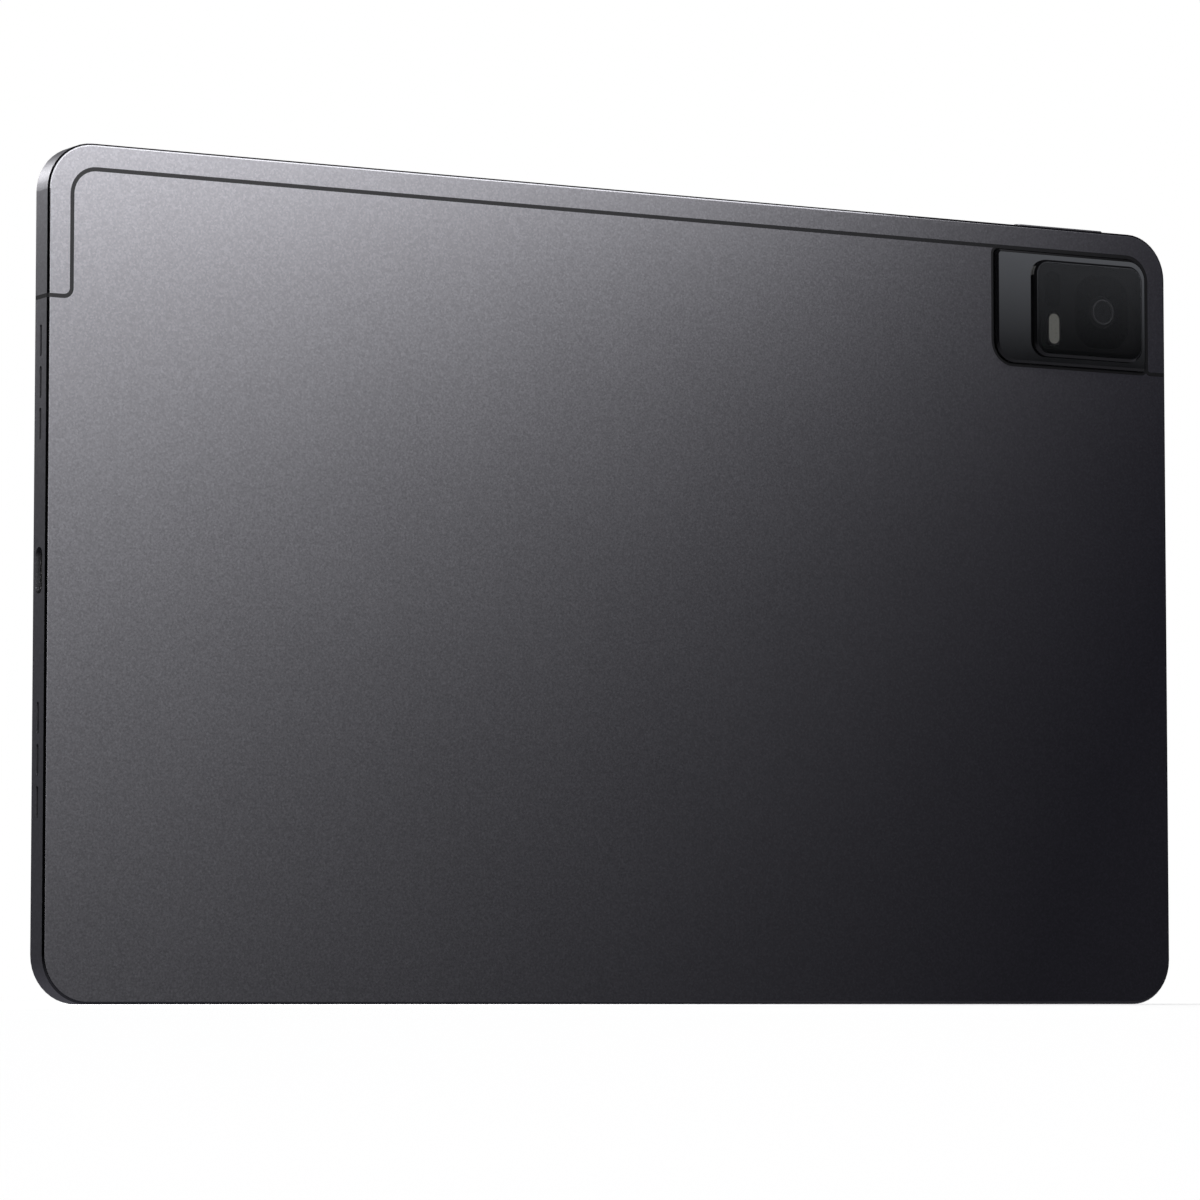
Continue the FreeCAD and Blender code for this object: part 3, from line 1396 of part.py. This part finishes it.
def tray_seal():
    start = TRAY_HEAD_THICKNESS - HALF_WIDTH
    end = start + TRAY_NECK_LENGTH
    ring = prism(tray_head_outline(TRAY_SEAL_GAP), "x", start, end)
    return ring.cut(prism(tray_head_outline(TRAY_CLEARANCE + TRAY_NECK_INSET), "x", start, end))


def reader_limits():
    """Inside of the reader: y and z limits that clear the tray and the eject rod."""
    half = TRAY_THICKNESS / 2 + READER_GAP
    low = MID_HEIGHT + TRAY_OFFSET - TRAY_WIDTH / 2 - READER_GAP
    high = MID_HEIGHT + EJECT_HOLE_OFFSET + EJECT_ROD_SIDE / 2 + READER_GAP
    return RAIL_CENTRE - half, RAIL_CENTRE + half, low, high


def card_reader():
    y0, y1, low, high = reader_limits()
    start = READER_SETBACK - INNER_SIDE
    end = start + READER_LENGTH
    wall = READER_WALL
    outer = block(start, end, y0 - wall, y1 + wall, low - wall, high + wall)
    return outer.cut(block(start, end - wall, y0, y1, low, high))


def eject_rod():
    """Slim bar in line with the pin hole; a pin pushes it inwards to free the tray."""
    z = MID_HEIGHT + EJECT_HOLE_OFFSET
    half = EJECT_ROD_SIDE / 2
    start = READER_SETBACK - INNER_SIDE
    end = start + EJECT_ROD_LENGTH
    return block(start, end, RAIL_CENTRE - half, RAIL_CENTRE + half, z - half, z + half)


# ---- microphones and antennas ----
def microphones():
    top = INNER_TOP - MICROPHONE_GAP
    y0 = RAIL_CENTRE - MICROPHONE_DEPTH / 2
    return group([
        block(
            x - MICROPHONE_LENGTH / 2,
            x + MICROPHONE_LENGTH / 2,
            max(y0, MID_FRAME_BACK + MICROPHONE_GAP),
            RAIL_CENTRE + MICROPHONE_DEPTH / 2,
            top - MICROPHONE_HEIGHT,
            top,
        )
        for x in microphone_places()
    ])


def wifi_antenna():
    x1 = HALF_WIDTH - ANTENNA_FROM_EDGE
    top = INNER_TOP - ANTENNA_GAP
    y1 = PANEL_INNER - ANTENNA_GAP
    return block(x1 - ANTENNA_LENGTH, x1, y1 - ANTENNA_DEPTH, y1, top - ANTENNA_HEIGHT, top)


def bluetooth_antenna():
    low = LINE_CROSSING + SIDE_ANTENNA_ABOVE_LINE
    x1 = INNER_SIDE - ANTENNA_GAP
    y1 = PANEL_INNER - ANTENNA_GAP
    return block(x1 - ANTENNA_HEIGHT, x1, y1 - ANTENNA_DEPTH, y1, low, low + SIDE_ANTENNA_LENGTH)


def main():
    os.makedirs("parts", exist_ok=True)
    shell = hollow_shell()
    left_cell, right_cell = battery_spans()
    pieces = {
        "rear_housing": rear_housing(shell),
        "antenna_band": antenna_band(shell),
        "antenna_insulator": antenna_insulator(shell),
        "camera_plinth": camera_plinth(),
        "camera_bezel": camera_bezel(),
        "camera_window": camera_window(),
        "lens_surround": lens_surround(),
        "rear_camera_can": rear_camera_can(),
        "rear_lens_barrel": rear_lens_barrel(),
        "rear_lens": rear_lens(),
        "rear_sensor_board": rear_sensor_board(),
        "flash_ring": flash_ring(),
        "flash_lens": flash_lens(),
        "flash_board": flash_board(),
        "flash_leds": flash_leds(),
        "sensor_cover": sensor_cover(),
        "light_sensor": light_sensor(),
        "cover_glass": cover_glass(),
        "display_adhesive": display_adhesive(),
        "lcd_panel": lcd_panel(),
        "backlight": backlight(),
        "front_bezel": front_bezel(),
        "bezel_tape": bezel_tape(),
        "mid_frame": mid_frame(),
        "display_flex": display_flex(),
        "front_camera": front_camera(),
        "front_camera_lens": front_camera_lens(),
        "frame_screws": frame_screws(),
        "battery_cell_left": battery_cell(left_cell),
        "battery_cell_right": battery_cell(right_cell),
        "battery_pads": battery_pads(),
        "battery_guard_board": battery_guard_board(),
        "battery_lead": battery_lead(),
        "main_board": main_board(),
        "board_shields": board_shields(),
        "board_chips": board_chips(),
        "board_screws": board_screws(),
        "main_flex": main_flex(),
        "usb_board": usb_board(),
        "usb_shell": usb_shell(),
        "usb_tongue": usb_tongue(),
        "usb_contacts": usb_contacts(),
        "speaker_meshes": speaker_meshes(),
        "power_button": power_button(),
        "power_dome": power_dome(),
        "volume_rocker": volume_rocker(),
        "volume_domes": volume_domes(),
        "key_flexes": group([power_flex(), volume_flex()]),
        "key_brackets": group([power_bracket(), volume_bracket()]),
        "card_tray": card_tray(),
        "tray_seal": tray_seal(),
        "card_reader": card_reader(),
        "eject_rod": eject_rod(),
        "microphones": microphones(),
        "antennas": group([wifi_antenna(), bluetooth_antenna()]),
    }
    for name, (side, middle) in grille_places().items():
        pieces[f"speaker_{name}"] = speaker(side, middle)
    for name, shape in pieces.items():
        save(name, shape)


main()
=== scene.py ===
import json

import bmesh
import bpy
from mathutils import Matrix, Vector


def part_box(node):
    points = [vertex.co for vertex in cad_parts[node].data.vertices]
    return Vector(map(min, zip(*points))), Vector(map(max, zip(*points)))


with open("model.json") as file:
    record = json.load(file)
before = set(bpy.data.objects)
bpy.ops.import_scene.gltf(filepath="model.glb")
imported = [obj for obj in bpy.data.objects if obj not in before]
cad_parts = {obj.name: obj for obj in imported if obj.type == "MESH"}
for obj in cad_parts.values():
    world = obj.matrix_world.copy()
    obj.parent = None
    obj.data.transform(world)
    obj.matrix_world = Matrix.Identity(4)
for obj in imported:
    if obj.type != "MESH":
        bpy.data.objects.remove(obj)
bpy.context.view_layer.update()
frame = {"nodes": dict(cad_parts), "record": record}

MM = 0.001

# ---- noise: most of it lies in its middle range; grain has more detail than clouds ----
NOISE_MIDDLE = (0.3, 0.7)
GRAIN_DETAIL = 3.0
GRAIN_ROUGHNESS = 0.6

# ---- camera: lens and sensor in mm, places and clipping in metres ----
CAMERA_LENS = 157.78
SENSOR_WIDTH = 36.0
CAMERA_PLACE = (0.52358, 0.90219, 0.0008)
CAMERA_AIM = (0.00929, 0.00345, 0.07959)
CLIP_START = 0.001
CLIP_END = 100.0

# ---- lights: places and sizes in metres, power in watts ----
LIGHTS = {
    "key": {"place": (0.271, 0.684, 0.638), "aim": (1.0, 0.0, 0.952), "width": 1.452, "height": 0.842,
            "power": 42.5},
    "wash": {"place": (-2.2, 2.6, 1.6), "aim": (0.0, 0.0, 0.08), "width": 2.0, "height": 2.0, "power": 1.5,
             "colour": (0.95, 0.9, 1.35)},
    "side": {"place": (0.28, -0.28, 0.32), "aim": (0.128, 0.0, 0.12), "width": 0.12, "height": 0.12,
             "power": 0.75, "diffuse": False},
}

# ---- floor, and the surround and card that only glossy surfaces see, in metres ----
FLOOR_REACH = 12.0
FLOOR_CLOUD_SIZE = 0.2
FLOOR_DARK = (0.985, 0.985, 0.985)
FLOOR_LIGHT = (1.0, 1.0, 1.0)
FLOOR_ROUGHNESS = 0.9
SURROUND_RADIUS = 5.0
SURROUND_DIVISIONS = 4
SURROUND_COLOUR = (0.97, 0.96, 1.08)
ISLAND_CARD_X = (-1.05, -0.86)
ISLAND_CARD_Y = 1.2227
ISLAND_CARD_Z = (0.307, 0.40)
ISLAND_CARD_COLOUR = (0.95, 0.99, 1.08)

# ---- glows: two places along an axis in metres, and the strength at each ----
SURROUND_ACROSS = (-2.5, 2.5, 0.04, 0.1)
SURROUND_FRONT = (1.5, -2.0, 0.05, 1.0)
SURROUND_BELOW = (-0.3, -3.0, 0.0, 0.22)
ISLAND_CARD_GLOW = (0.31, 0.372, 0.0, 1.9)

# ---- aluminium; its cut edge is a band just inside the back face, glossier, and darkened with painted shade ----
ALLOY_DARK = (0.158, 0.156, 0.168)
ALLOY_LIGHT = (0.194, 0.192, 0.206)
ALLOY_GRAIN_SIZE = 0.42 * MM
ALLOY_GRAIN_ROUGHNESS = 0.65
ALLOY_GRAIN_DEPTH = 0.004 * MM
ALLOY_GRAIN_SHARE = 0.8
ALLOY_CLOUD_SIZE = 30 * MM
ALLOY_CLOUD_SHARE = 0.2
ALLOY_GLOSS = (0.45, 0.5)
FLAKE_SIZE = 0.36 * MM
FLAKE_COLOUR = (0.30, 0.298, 0.322)
FLAKE_START = 0.4
FLAKE_SHARE = 0.34
EDGE_MIDDLE = 0.225 * MM
EDGE_HALF_WIDTH = 0.195 * MM
# painted shade: the edge band's darker colour stands in for the dark surroundings that the edge mirrors
EDGE_PAINTED_SHADE_COLOUR = (0.07, 0.07, 0.075)
EDGE_GLOSS = 0.34

# ---- glass over the rear cameras ----
COATED_IOR = 1.25
LENS_CLEAR_RADIUS = 2.5 * MM
LENS_CLEAR_BLEND = 0.1 * MM
LENS_CLEAR_COLOUR = (0.16, 0.165, 0.18)
LENS_RING_HALF_WIDTH = 0.09 * MM
LENS_RING_COLOUR = (0.02, 0.02, 0.0215)

# ---- glass over the screen ----
SCREEN_BORDER = 8.3 * MM
SCREEN_DOT_SIZE = 0.25 * MM
SCREEN_DARK = (0.0085, 0.009, 0.0115)
SCREEN_LIGHT = (0.0125, 0.013, 0.016)
FRONT_CLEAR_RADIUS = 1.5 * MM
FRONT_CLEAR_COLOUR = (0.85, 0.86, 0.88)
INK_BLEND = 0.05 * MM

# ---- plain looks; each starts with a dark colour, a light colour and a roughness ----
# then grain size and bump depth in mm, and the specular level where it isn't the usual one
PLASTICS = {
    "seam_plastic": ((0.005, 0.005, 0.0056), (0.008, 0.008, 0.009), 0.5, 0.3, 0.003, 0.15),
    "black_print": ((0.001, 0.001, 0.0011), (0.002, 0.002, 0.0022), 0.3, 0.3, 0.001),
    "black_plastic": ((0.003, 0.003, 0.0033), (0.006, 0.006, 0.0066), 0.4, 0.25, 0.004),
    "flash_diffuser": ((0.04, 0.04, 0.037), (0.064, 0.064, 0.057), 0.3, 0.5, 0.01),
    "led_phosphor": ((0.6, 0.45, 0.08), (0.8, 0.62, 0.14), 0.5, 0.2, 0.01),
    "circuit_board": ((0.01, 0.05, 0.02), (0.03, 0.1, 0.05), 0.35, 1.0, 0.01),
    "chip_resin": ((0.02, 0.02, 0.02), (0.035, 0.035, 0.035), 0.5, 0.2, 0.004),
    "flex_film": ((0.28, 0.12, 0.03), (0.42, 0.2, 0.06), 0.3, 1.5, 0.002),
    "clear_adhesive": ((0.5, 0.5, 0.48), (0.62, 0.62, 0.6), 0.4, 1.0, 0.004),
    "backlight_film": ((0.6, 0.6, 0.6), (0.75, 0.75, 0.75), 0.4, 0.5, 0.004),
    "seal_rubber": ((0.012, 0.012, 0.012), (0.022, 0.022, 0.022), 0.6, 0.15, 0.006),
}
PLASTIC_UNEVENNESS = 0.04

# then grain size in mm, and the grain's scale along X, Y and Z where it isn't even
METALS = {
    "stainless_steel": ((0.44, 0.43, 0.42), (0.6, 0.59, 0.57), 0.3, 0.4, (1, 1, 6)),
    "battery_foil": ((0.1, 0.1, 0.11), (0.16, 0.16, 0.17), 0.35, 0.8),
    "frame_alloy": ((0.3, 0.3, 0.31), (0.42, 0.42, 0.43), 0.45, 0.5),
    "screw_steel": ((0.4, 0.4, 0.39), (0.55, 0.55, 0.54), 0.35, 0.2),
    "gold_plate": ((0.75, 0.5, 0.18), (0.9, 0.65, 0.28), 0.25, 0.2),
}
METAL_UNEVENNESS = 0.06
METAL_DEPTH = 0.002 * MM

# then cloud size in mm
POLISHED = {
    "gloss_black": ((0.0012, 0.0012, 0.0014), (0.002, 0.002, 0.0023), 0.045, 3),
    "camera_glass": ((0.08, 0.08, 0.086), (0.1, 0.1, 0.107), 0.02, 4),
    "cover_glass": ((0.0022, 0.0022, 0.0025), (0.0035, 0.0035, 0.0039), 0.03, 30),
    "lens_glass": ((0.004, 0.005, 0.014), (0.012, 0.007, 0.02), 0.03, 1.2),
    "lcd_glass": ((0.016, 0.016, 0.02), (0.02, 0.02, 0.026), 0.1, 20),
}
POLISH_LOW = 0.8
POLISH_HIGH = 1.2


# ---- small helpers for node trees ----
def new_material(name):
    made = bpy.data.materials.new(name)
    made.use_nodes = True
    tree = made.node_tree
    return made, tree, tree.nodes["Principled BSDF"]


def set_inputs(node, **values):
    for name, value in values.items():
        node.inputs[name.replace("_", " ")].default_value = value


def coordinates(tree):
    return tree.nodes.new("ShaderNodeTexCoord").outputs["Object"]


def split_coordinates(tree):
    split = tree.nodes.new("ShaderNodeSeparateXYZ")
    tree.links.new(coordinates(tree), split.inputs["Vector"])
    return split.outputs


def noise(tree, size, detail=2.0, roughness=0.5, stretch=(1, 1, 1)):
    """Noise with grains of about that size, in metres."""
    scaled = tree.nodes.new("ShaderNodeMapping")
    scaled.inputs["Scale"].default_value = stretch
    tree.links.new(coordinates(tree), scaled.inputs["Vector"])
    node = tree.nodes.new("ShaderNodeTexNoise")
    set_inputs(node, Scale=1 / size, Detail=detail, Roughness=roughness)
    tree.links.new(scaled.outputs["Vector"], node.inputs["Vector"])
    return node.outputs["Fac"]


def cells(tree, size):
    """Uneven cells of about that size, in metres."""
    node = tree.nodes.new("ShaderNodeTexVoronoi")
    node.inputs["Scale"].default_value = 1 / size
    tree.links.new(coordinates(tree), node.inputs["Vector"])
    return node.outputs


def ranged(tree, source, low, high, to_low, to_high):
    node = tree.nodes.new("ShaderNodeMapRange")
    node.inputs["From Min"].default_value = low
    node.inputs["From Max"].default_value = high
    node.inputs["To Min"].default_value = to_low
    node.inputs["To Max"].default_value = to_high
    tree.links.new(source, node.inputs["Value"])
    return node.outputs["Result"]


def noise_range(tree, source, to_low, to_high):
    """The middle of a noise, where most of its values lie, stretched over a range."""
    return ranged(tree, source, *NOISE_MIDDLE, to_low, to_high)


def within(tree, distance, limit, blend):
    """1 inside the limit, fading over the blend to 0 at the limit."""
    return ranged(tree, distance, limit - blend, limit, 1.0, 0.0)


def mixed(tree, factor, first, second):
    """A mix of two colours, each a tuple or another node's output."""
    node = tree.nodes.new("ShaderNodeMix")
    node.data_type = "RGBA"
    tree.links.new(factor, node.inputs["Factor"])
    for socket, colour in ((node.inputs[6], first), (node.inputs[7], second)):
        if isinstance(colour, tuple):
            socket.default_value = (*colour, 1)
        else:
            tree.links.new(colour, socket)
    return node.outputs[2]


def math_node(tree, operation, *values):
    """Arithmetic on values that are each a number or another node's output."""
    node = tree.nodes.new("ShaderNodeMath")
    node.operation = operation
    for socket, value in zip(node.inputs, values):
        if isinstance(value, (int, float)):
            socket.default_value = value
        else:
            tree.links.new(value, socket)
    return node.outputs["Value"]


def bump(tree, height, depth, shader):
    node = tree.nodes.new("ShaderNodeBump")
    node.inputs["Strength"].default_value = 1.0
    node.inputs["Distance"].default_value = depth
    tree.links.new(height, node.inputs["Height"])
    tree.links.new(node.outputs["Normal"], shader.inputs["Normal"])


def middle(name):
    low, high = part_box(name)
    return (Vector(low) + Vector(high)) / 2


def axis_distance(tree, centre):
    """Distance from the line along Y through a point, as the cameras look along Y."""
    shifted = tree.nodes.new("ShaderNodeMapping")
    shifted.inputs["Location"].default_value = (-centre.x, 0, -centre.z)
    shifted.inputs["Scale"].default_value = (1, 0, 1)
    tree.links.new(coordinates(tree), shifted.inputs["Vector"])
    length = tree.nodes.new("ShaderNodeVectorMath")
    length.operation = "LENGTH"
    tree.links.new(shifted.outputs["Vector"], length.inputs[0])
    return length.outputs["Value"]


# ---- materials, one for each slot ----
def anodised_aluminium():
    """Satin metal with a fine grain and scattered flakes, and a glossier edge to its back whose darker
    colour is painted shade.
    """
    made, tree, shader = new_material("anodised_aluminium")
    grain = noise(tree, ALLOY_GRAIN_SIZE, GRAIN_DETAIL, ALLOY_GRAIN_ROUGHNESS)
    fine = noise_range(tree, grain, 0.0, ALLOY_GRAIN_SHARE)
    cloudy = noise_range(tree, noise(tree, ALLOY_CLOUD_SIZE), 0.0, ALLOY_CLOUD_SHARE)
    body = mixed(tree, math_node(tree, "ADD", fine, cloudy), ALLOY_DARK, ALLOY_LIGHT)
    spark = ranged(tree, cells(tree, FLAKE_SIZE)["Color"], FLAKE_START, 1.0, 0.0, FLAKE_SHARE)
    colour = mixed(tree, spark, body, FLAKE_COLOUR)
    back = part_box("rear_housing")[1].y
    shade_and_gloss_band = math_node(tree, "COMPARE", split_coordinates(tree)["Y"], back - EDGE_MIDDLE, EDGE_HALF_WIDTH)
    # painted shade: the band just inside the back face is darkened in its base colour; the same band is
    # also made glossier below
    tree.links.new(mixed(tree, shade_and_gloss_band, colour, EDGE_PAINTED_SHADE_COLOUR), shader.inputs["Base Color"])
    satin = noise_range(tree, grain, *ALLOY_GLOSS)
    cut = math_node(tree, "MULTIPLY", shade_and_gloss_band, EDGE_GLOSS)
    tree.links.new(math_node(tree, "SUBTRACT", satin, cut), shader.inputs["Roughness"])
    bump(tree, grain, ALLOY_GRAIN_DEPTH, shader)
    set_inputs(shader, Metallic=1.0)
    return made


def plastic(name, dark, light, gloss, grain_mm, depth_mm, specular=0.5):
    """Fine moulded plastic whose colour and roughness vary a little."""
    made, tree, shader = new_material(name)
    set_inputs(shader, Specular_IOR_Level=specular)
    grain = noise(tree, grain_mm * MM, GRAIN_DETAIL, GRAIN_ROUGHNESS)
    tree.links.new(mixed(tree, grain, dark, light), shader.inputs["Base Color"])
    uneven = noise_range(tree, grain, gloss - PLASTIC_UNEVENNESS, gloss + PLASTIC_UNEVENNESS)
    tree.links.new(uneven, shader.inputs["Roughness"])
    bump(tree, grain, depth_mm * MM, shader)
    return made


def metal(name, dark, light, gloss, grain_mm, stretch=(1, 1, 1)):
    """Bare metal with a fine grain, which may be drawn out along one axis."""
    made, tree, shader = new_material(name)
    grain = noise(tree, grain_mm * MM, GRAIN_DETAIL, GRAIN_ROUGHNESS, stretch)
    tree.links.new(mixed(tree, grain, dark, light), shader.inputs["Base Color"])
    uneven = noise_range(tree, grain, gloss - METAL_UNEVENNESS, gloss + METAL_UNEVENNESS)
    tree.links.new(uneven, shader.inputs["Roughness"])
    bump(tree, grain, METAL_DEPTH, shader)
    set_inputs(shader, Metallic=1.0)
    return made


def polished(name, dark, light, gloss, cloud_mm):
    """A polished surface with a very faint unevenness in its colour and gloss."""
    made, tree, shader = new_material(name)
    clouds = noise(tree, cloud_mm * MM)
    tree.links.new(mixed(tree, clouds, dark, light), shader.inputs["Base Color"])
    uneven = noise_range(tree, clouds, gloss * POLISH_LOW, gloss * POLISH_HIGH)
    tree.links.new(uneven, shader.inputs["Roughness"])
    return made


def base_of(material):
    """A material's tree and shader, and what its base colour comes from."""
    tree = material.node_tree
    shader = tree.nodes["Principled BSDF"]
    return tree, shader, shader.inputs["Base Color"].links[0].from_socket


def add_lens_window(material):
    """Coated glass that is lighter over the lens, with a thin opaque ring round that."""
    tree, shader, tint = base_of(material)
    distance = axis_distance(tree, middle("rear_lens"))
    clear = within(tree, distance, LENS_CLEAR_RADIUS, LENS_CLEAR_BLEND)
    ring = math_node(tree, "COMPARE", distance, LENS_CLEAR_RADIUS, LENS_RING_HALF_WIDTH)
    glass = mixed(tree, clear, tint, LENS_CLEAR_COLOUR)
    tree.links.new(mixed(tree, ring, glass, LENS_RING_COLOUR), shader.inputs["Base Color"])
    tree.links.new(math_node(tree, "SUBTRACT", 1.0, ring), shader.inputs["Transmission Weight"])
    set_inputs(shader, IOR=COATED_IOR)


def add_screen(material):
    """Black border, slightly lighter screen behind the glass, clear over the front camera."""
    tree, shader, ink = base_of(material)
    low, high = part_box("cover_glass")
    centre = middle("cover_glass")
    place = split_coordinates(tree)
    inside = []
    for axis, i in (("X", 0), ("Z", 2)):
        half = (high[i] - low[i]) / 2 - SCREEN_BORDER
        away = math_node(tree, "ABSOLUTE", math_node(tree, "SUBTRACT", place[axis], centre[i]))
        inside.append(within(tree, away, half, INK_BLEND))
    screen = math_node(tree, "MULTIPLY", *inside)
    dots = cells(tree, SCREEN_DOT_SIZE)["Distance"]
    face = mixed(tree, screen, ink, mixed(tree, dots, SCREEN_DARK, SCREEN_LIGHT))
    distance = axis_distance(tree, middle("front_camera_lens"))
    window = within(tree, distance, FRONT_CLEAR_RADIUS, INK_BLEND)
    tree.links.new(mixed(tree, window, face, FRONT_CLEAR_COLOUR), shader.inputs["Base Color"])
    tree.links.new(window, shader.inputs["Transmission Weight"])


def make_materials():
    made = {"anodised_aluminium": anodised_aluminium()}
    for make, looks in ((plastic, PLASTICS), (metal, METALS), (polished, POLISHED)):
        for name, look in looks.items():
            made[name] = make(name, *look)
    add_lens_window(made["camera_glass"])
    add_screen(made["cover_glass"])
    return made


def dress_nodes():
    """Each CAD node takes the material of its slot."""
    materials = make_materials()
    for part in frame["record"]["subparts"]:
        node = frame["nodes"][part["node"]]
        node.data.materials.clear()
        node.data.materials.append(materials[part["material_slot"]])


# ---- studio ----
def place_and_aim(thing, place, target):
    thing.location = place
    thing.rotation_mode = "QUATERNION"
    thing.rotation_quaternion = (Vector(target) - Vector(place)).to_track_quat("-Z", "Y")


def make_camera():
    data = bpy.data.cameras.new("camera")
    data.lens = CAMERA_LENS
    data.sensor_width = SENSOR_WIDTH
    data.clip_start = CLIP_START
    data.clip_end = CLIP_END
    camera = bpy.data.objects.new("camera", data)
    bpy.context.collection.objects.link(camera)
    place_and_aim(camera, CAMERA_PLACE, CAMERA_AIM)
    bpy.context.scene.camera = camera


def area_light(name, place, aim, width, height, power, colour=(1, 1, 1), diffuse=True):
    """A soft light that the camera doesn't see itself."""
    data = bpy.data.lights.new(name, "AREA")
    data.shape = "RECTANGLE"
    data.size = width
    data.size_y = height
    data.energy = power
    data.color = colour
    light = bpy.data.objects.new(name, data)
    bpy.context.collection.objects.link(light)
    place_and_aim(light, place, aim)
    light.visible_camera = False
    light.visible_diffuse = diffuse


def make_floor():
    mesh = bpy.data.meshes.new("floor")
    shape = bmesh.new()
    bmesh.ops.create_grid(shape, x_segments=1, y_segments=1, size=FLOOR_REACH)
    shape.to_mesh(mesh)
    shape.free()
    floor = bpy.data.objects.new("floor", mesh)
    bpy.context.collection.objects.link(floor)
    made, tree, shader = new_material("pale_floor")
    tint = noise(tree, FLOOR_CLOUD_SIZE)
    tree.links.new(mixed(tree, tint, FLOOR_DARK, FLOOR_LIGHT), shader.inputs["Base Color"])
    set_inputs(shader, Roughness=FLOOR_ROUGHNESS, Specular_IOR_Level=0.0)
    mesh.materials.append(made)
    floor.visible_glossy = False


def make_world():
    """White all round, but not for glossy surfaces, which see the surround instead."""
    world = bpy.data.worlds.new("studio")
    bpy.context.scene.world = world
    world.use_nodes = True
    set_inputs(world.node_tree.nodes["Background"], Color=(1, 1, 1, 1), Strength=1.0)
    world.cycles_visibility.glossy = False


def glow_material(name, colour, strength_at):
    """A glow whose strength strength_at(tree, place) works out from the split coordinates."""
    made = bpy.data.materials.new(name)
    made.use_nodes = True
    tree = made.node_tree
    tree.nodes.remove(tree.nodes["Principled BSDF"])
    glow = tree.nodes.new("ShaderNodeEmission")
    glow.inputs["Color"].default_value = (*colour, 1)
    tree.links.new(strength_at(tree, split_coordinates(tree)), glow.inputs["Strength"])
    tree.links.new(glow.outputs["Emission"], tree.nodes["Material Output"].inputs["Surface"])
    return made


def only_in_gloss(mesh, name, material):
    """A staged object that nothing but a glossy surface sees."""
    mesh.materials.append(material)
    card = bpy.data.objects.new(name, mesh)
    bpy.context.collection.objects.link(card)
    card.visible_camera = False
    card.visible_diffuse = False
    card.visible_transmission = False
    card.visible_shadow = False


def island_card_strength(tree, place):
    """Brighter towards the top."""
    return ranged(tree, place["Z"], *ISLAND_CARD_GLOW)


def island_card():
    """The upright card that the camera island mirrors towards the camera."""
    left, right = ISLAND_CARD_X
    bottom, top = ISLAND_CARD_Z
    outline = ((left, bottom), (right, bottom), (right, top), (left, top))
    mesh = bpy.data.meshes.new("island_card")
    mesh.from_pydata([(x, ISLAND_CARD_Y, z) for x, z in outline], [], [(0, 1, 2, 3)])
    glow = glow_material("island_glow", ISLAND_CARD_COLOUR, island_card_strength)
    only_in_gloss(mesh, "island_card", glow)


def surround_strength(tree, place):
    """Dim behind the tablet's back, brighter before its screen and towards +X, bright again from below."""
    across = ranged(tree, place["X"], *SURROUND_ACROSS)
    front = ranged(tree, place["Y"], *SURROUND_FRONT)
    below = ranged(tree, place["Z"], *SURROUND_BELOW)
    return math_node(tree, "ADD", math_node(tree, "MULTIPLY", across, front), below)


def make_surround():
    """A dim ball round everything, for metal and glass to mirror."""
    mesh = bpy.data.meshes.new("surround")
    shape = bmesh.new()
    bmesh.ops.create_icosphere(shape, subdivisions=SURROUND_DIVISIONS, radius=SURROUND_RADIUS)
    shape.to_mesh(mesh)
    shape.free()
    glow = glow_material("surround_glow", SURROUND_COLOUR, surround_strength)
    glow.cycles.emission_sampling = "NONE"
    only_in_gloss(mesh, "surround", glow)


dress_nodes()
make_camera()
make_floor()
make_world()
for light_name, settings in LIGHTS.items():
    area_light(light_name, **settings)
make_surround()
island_card()
bpy.context.scene.view_settings.view_transform = "Standard"
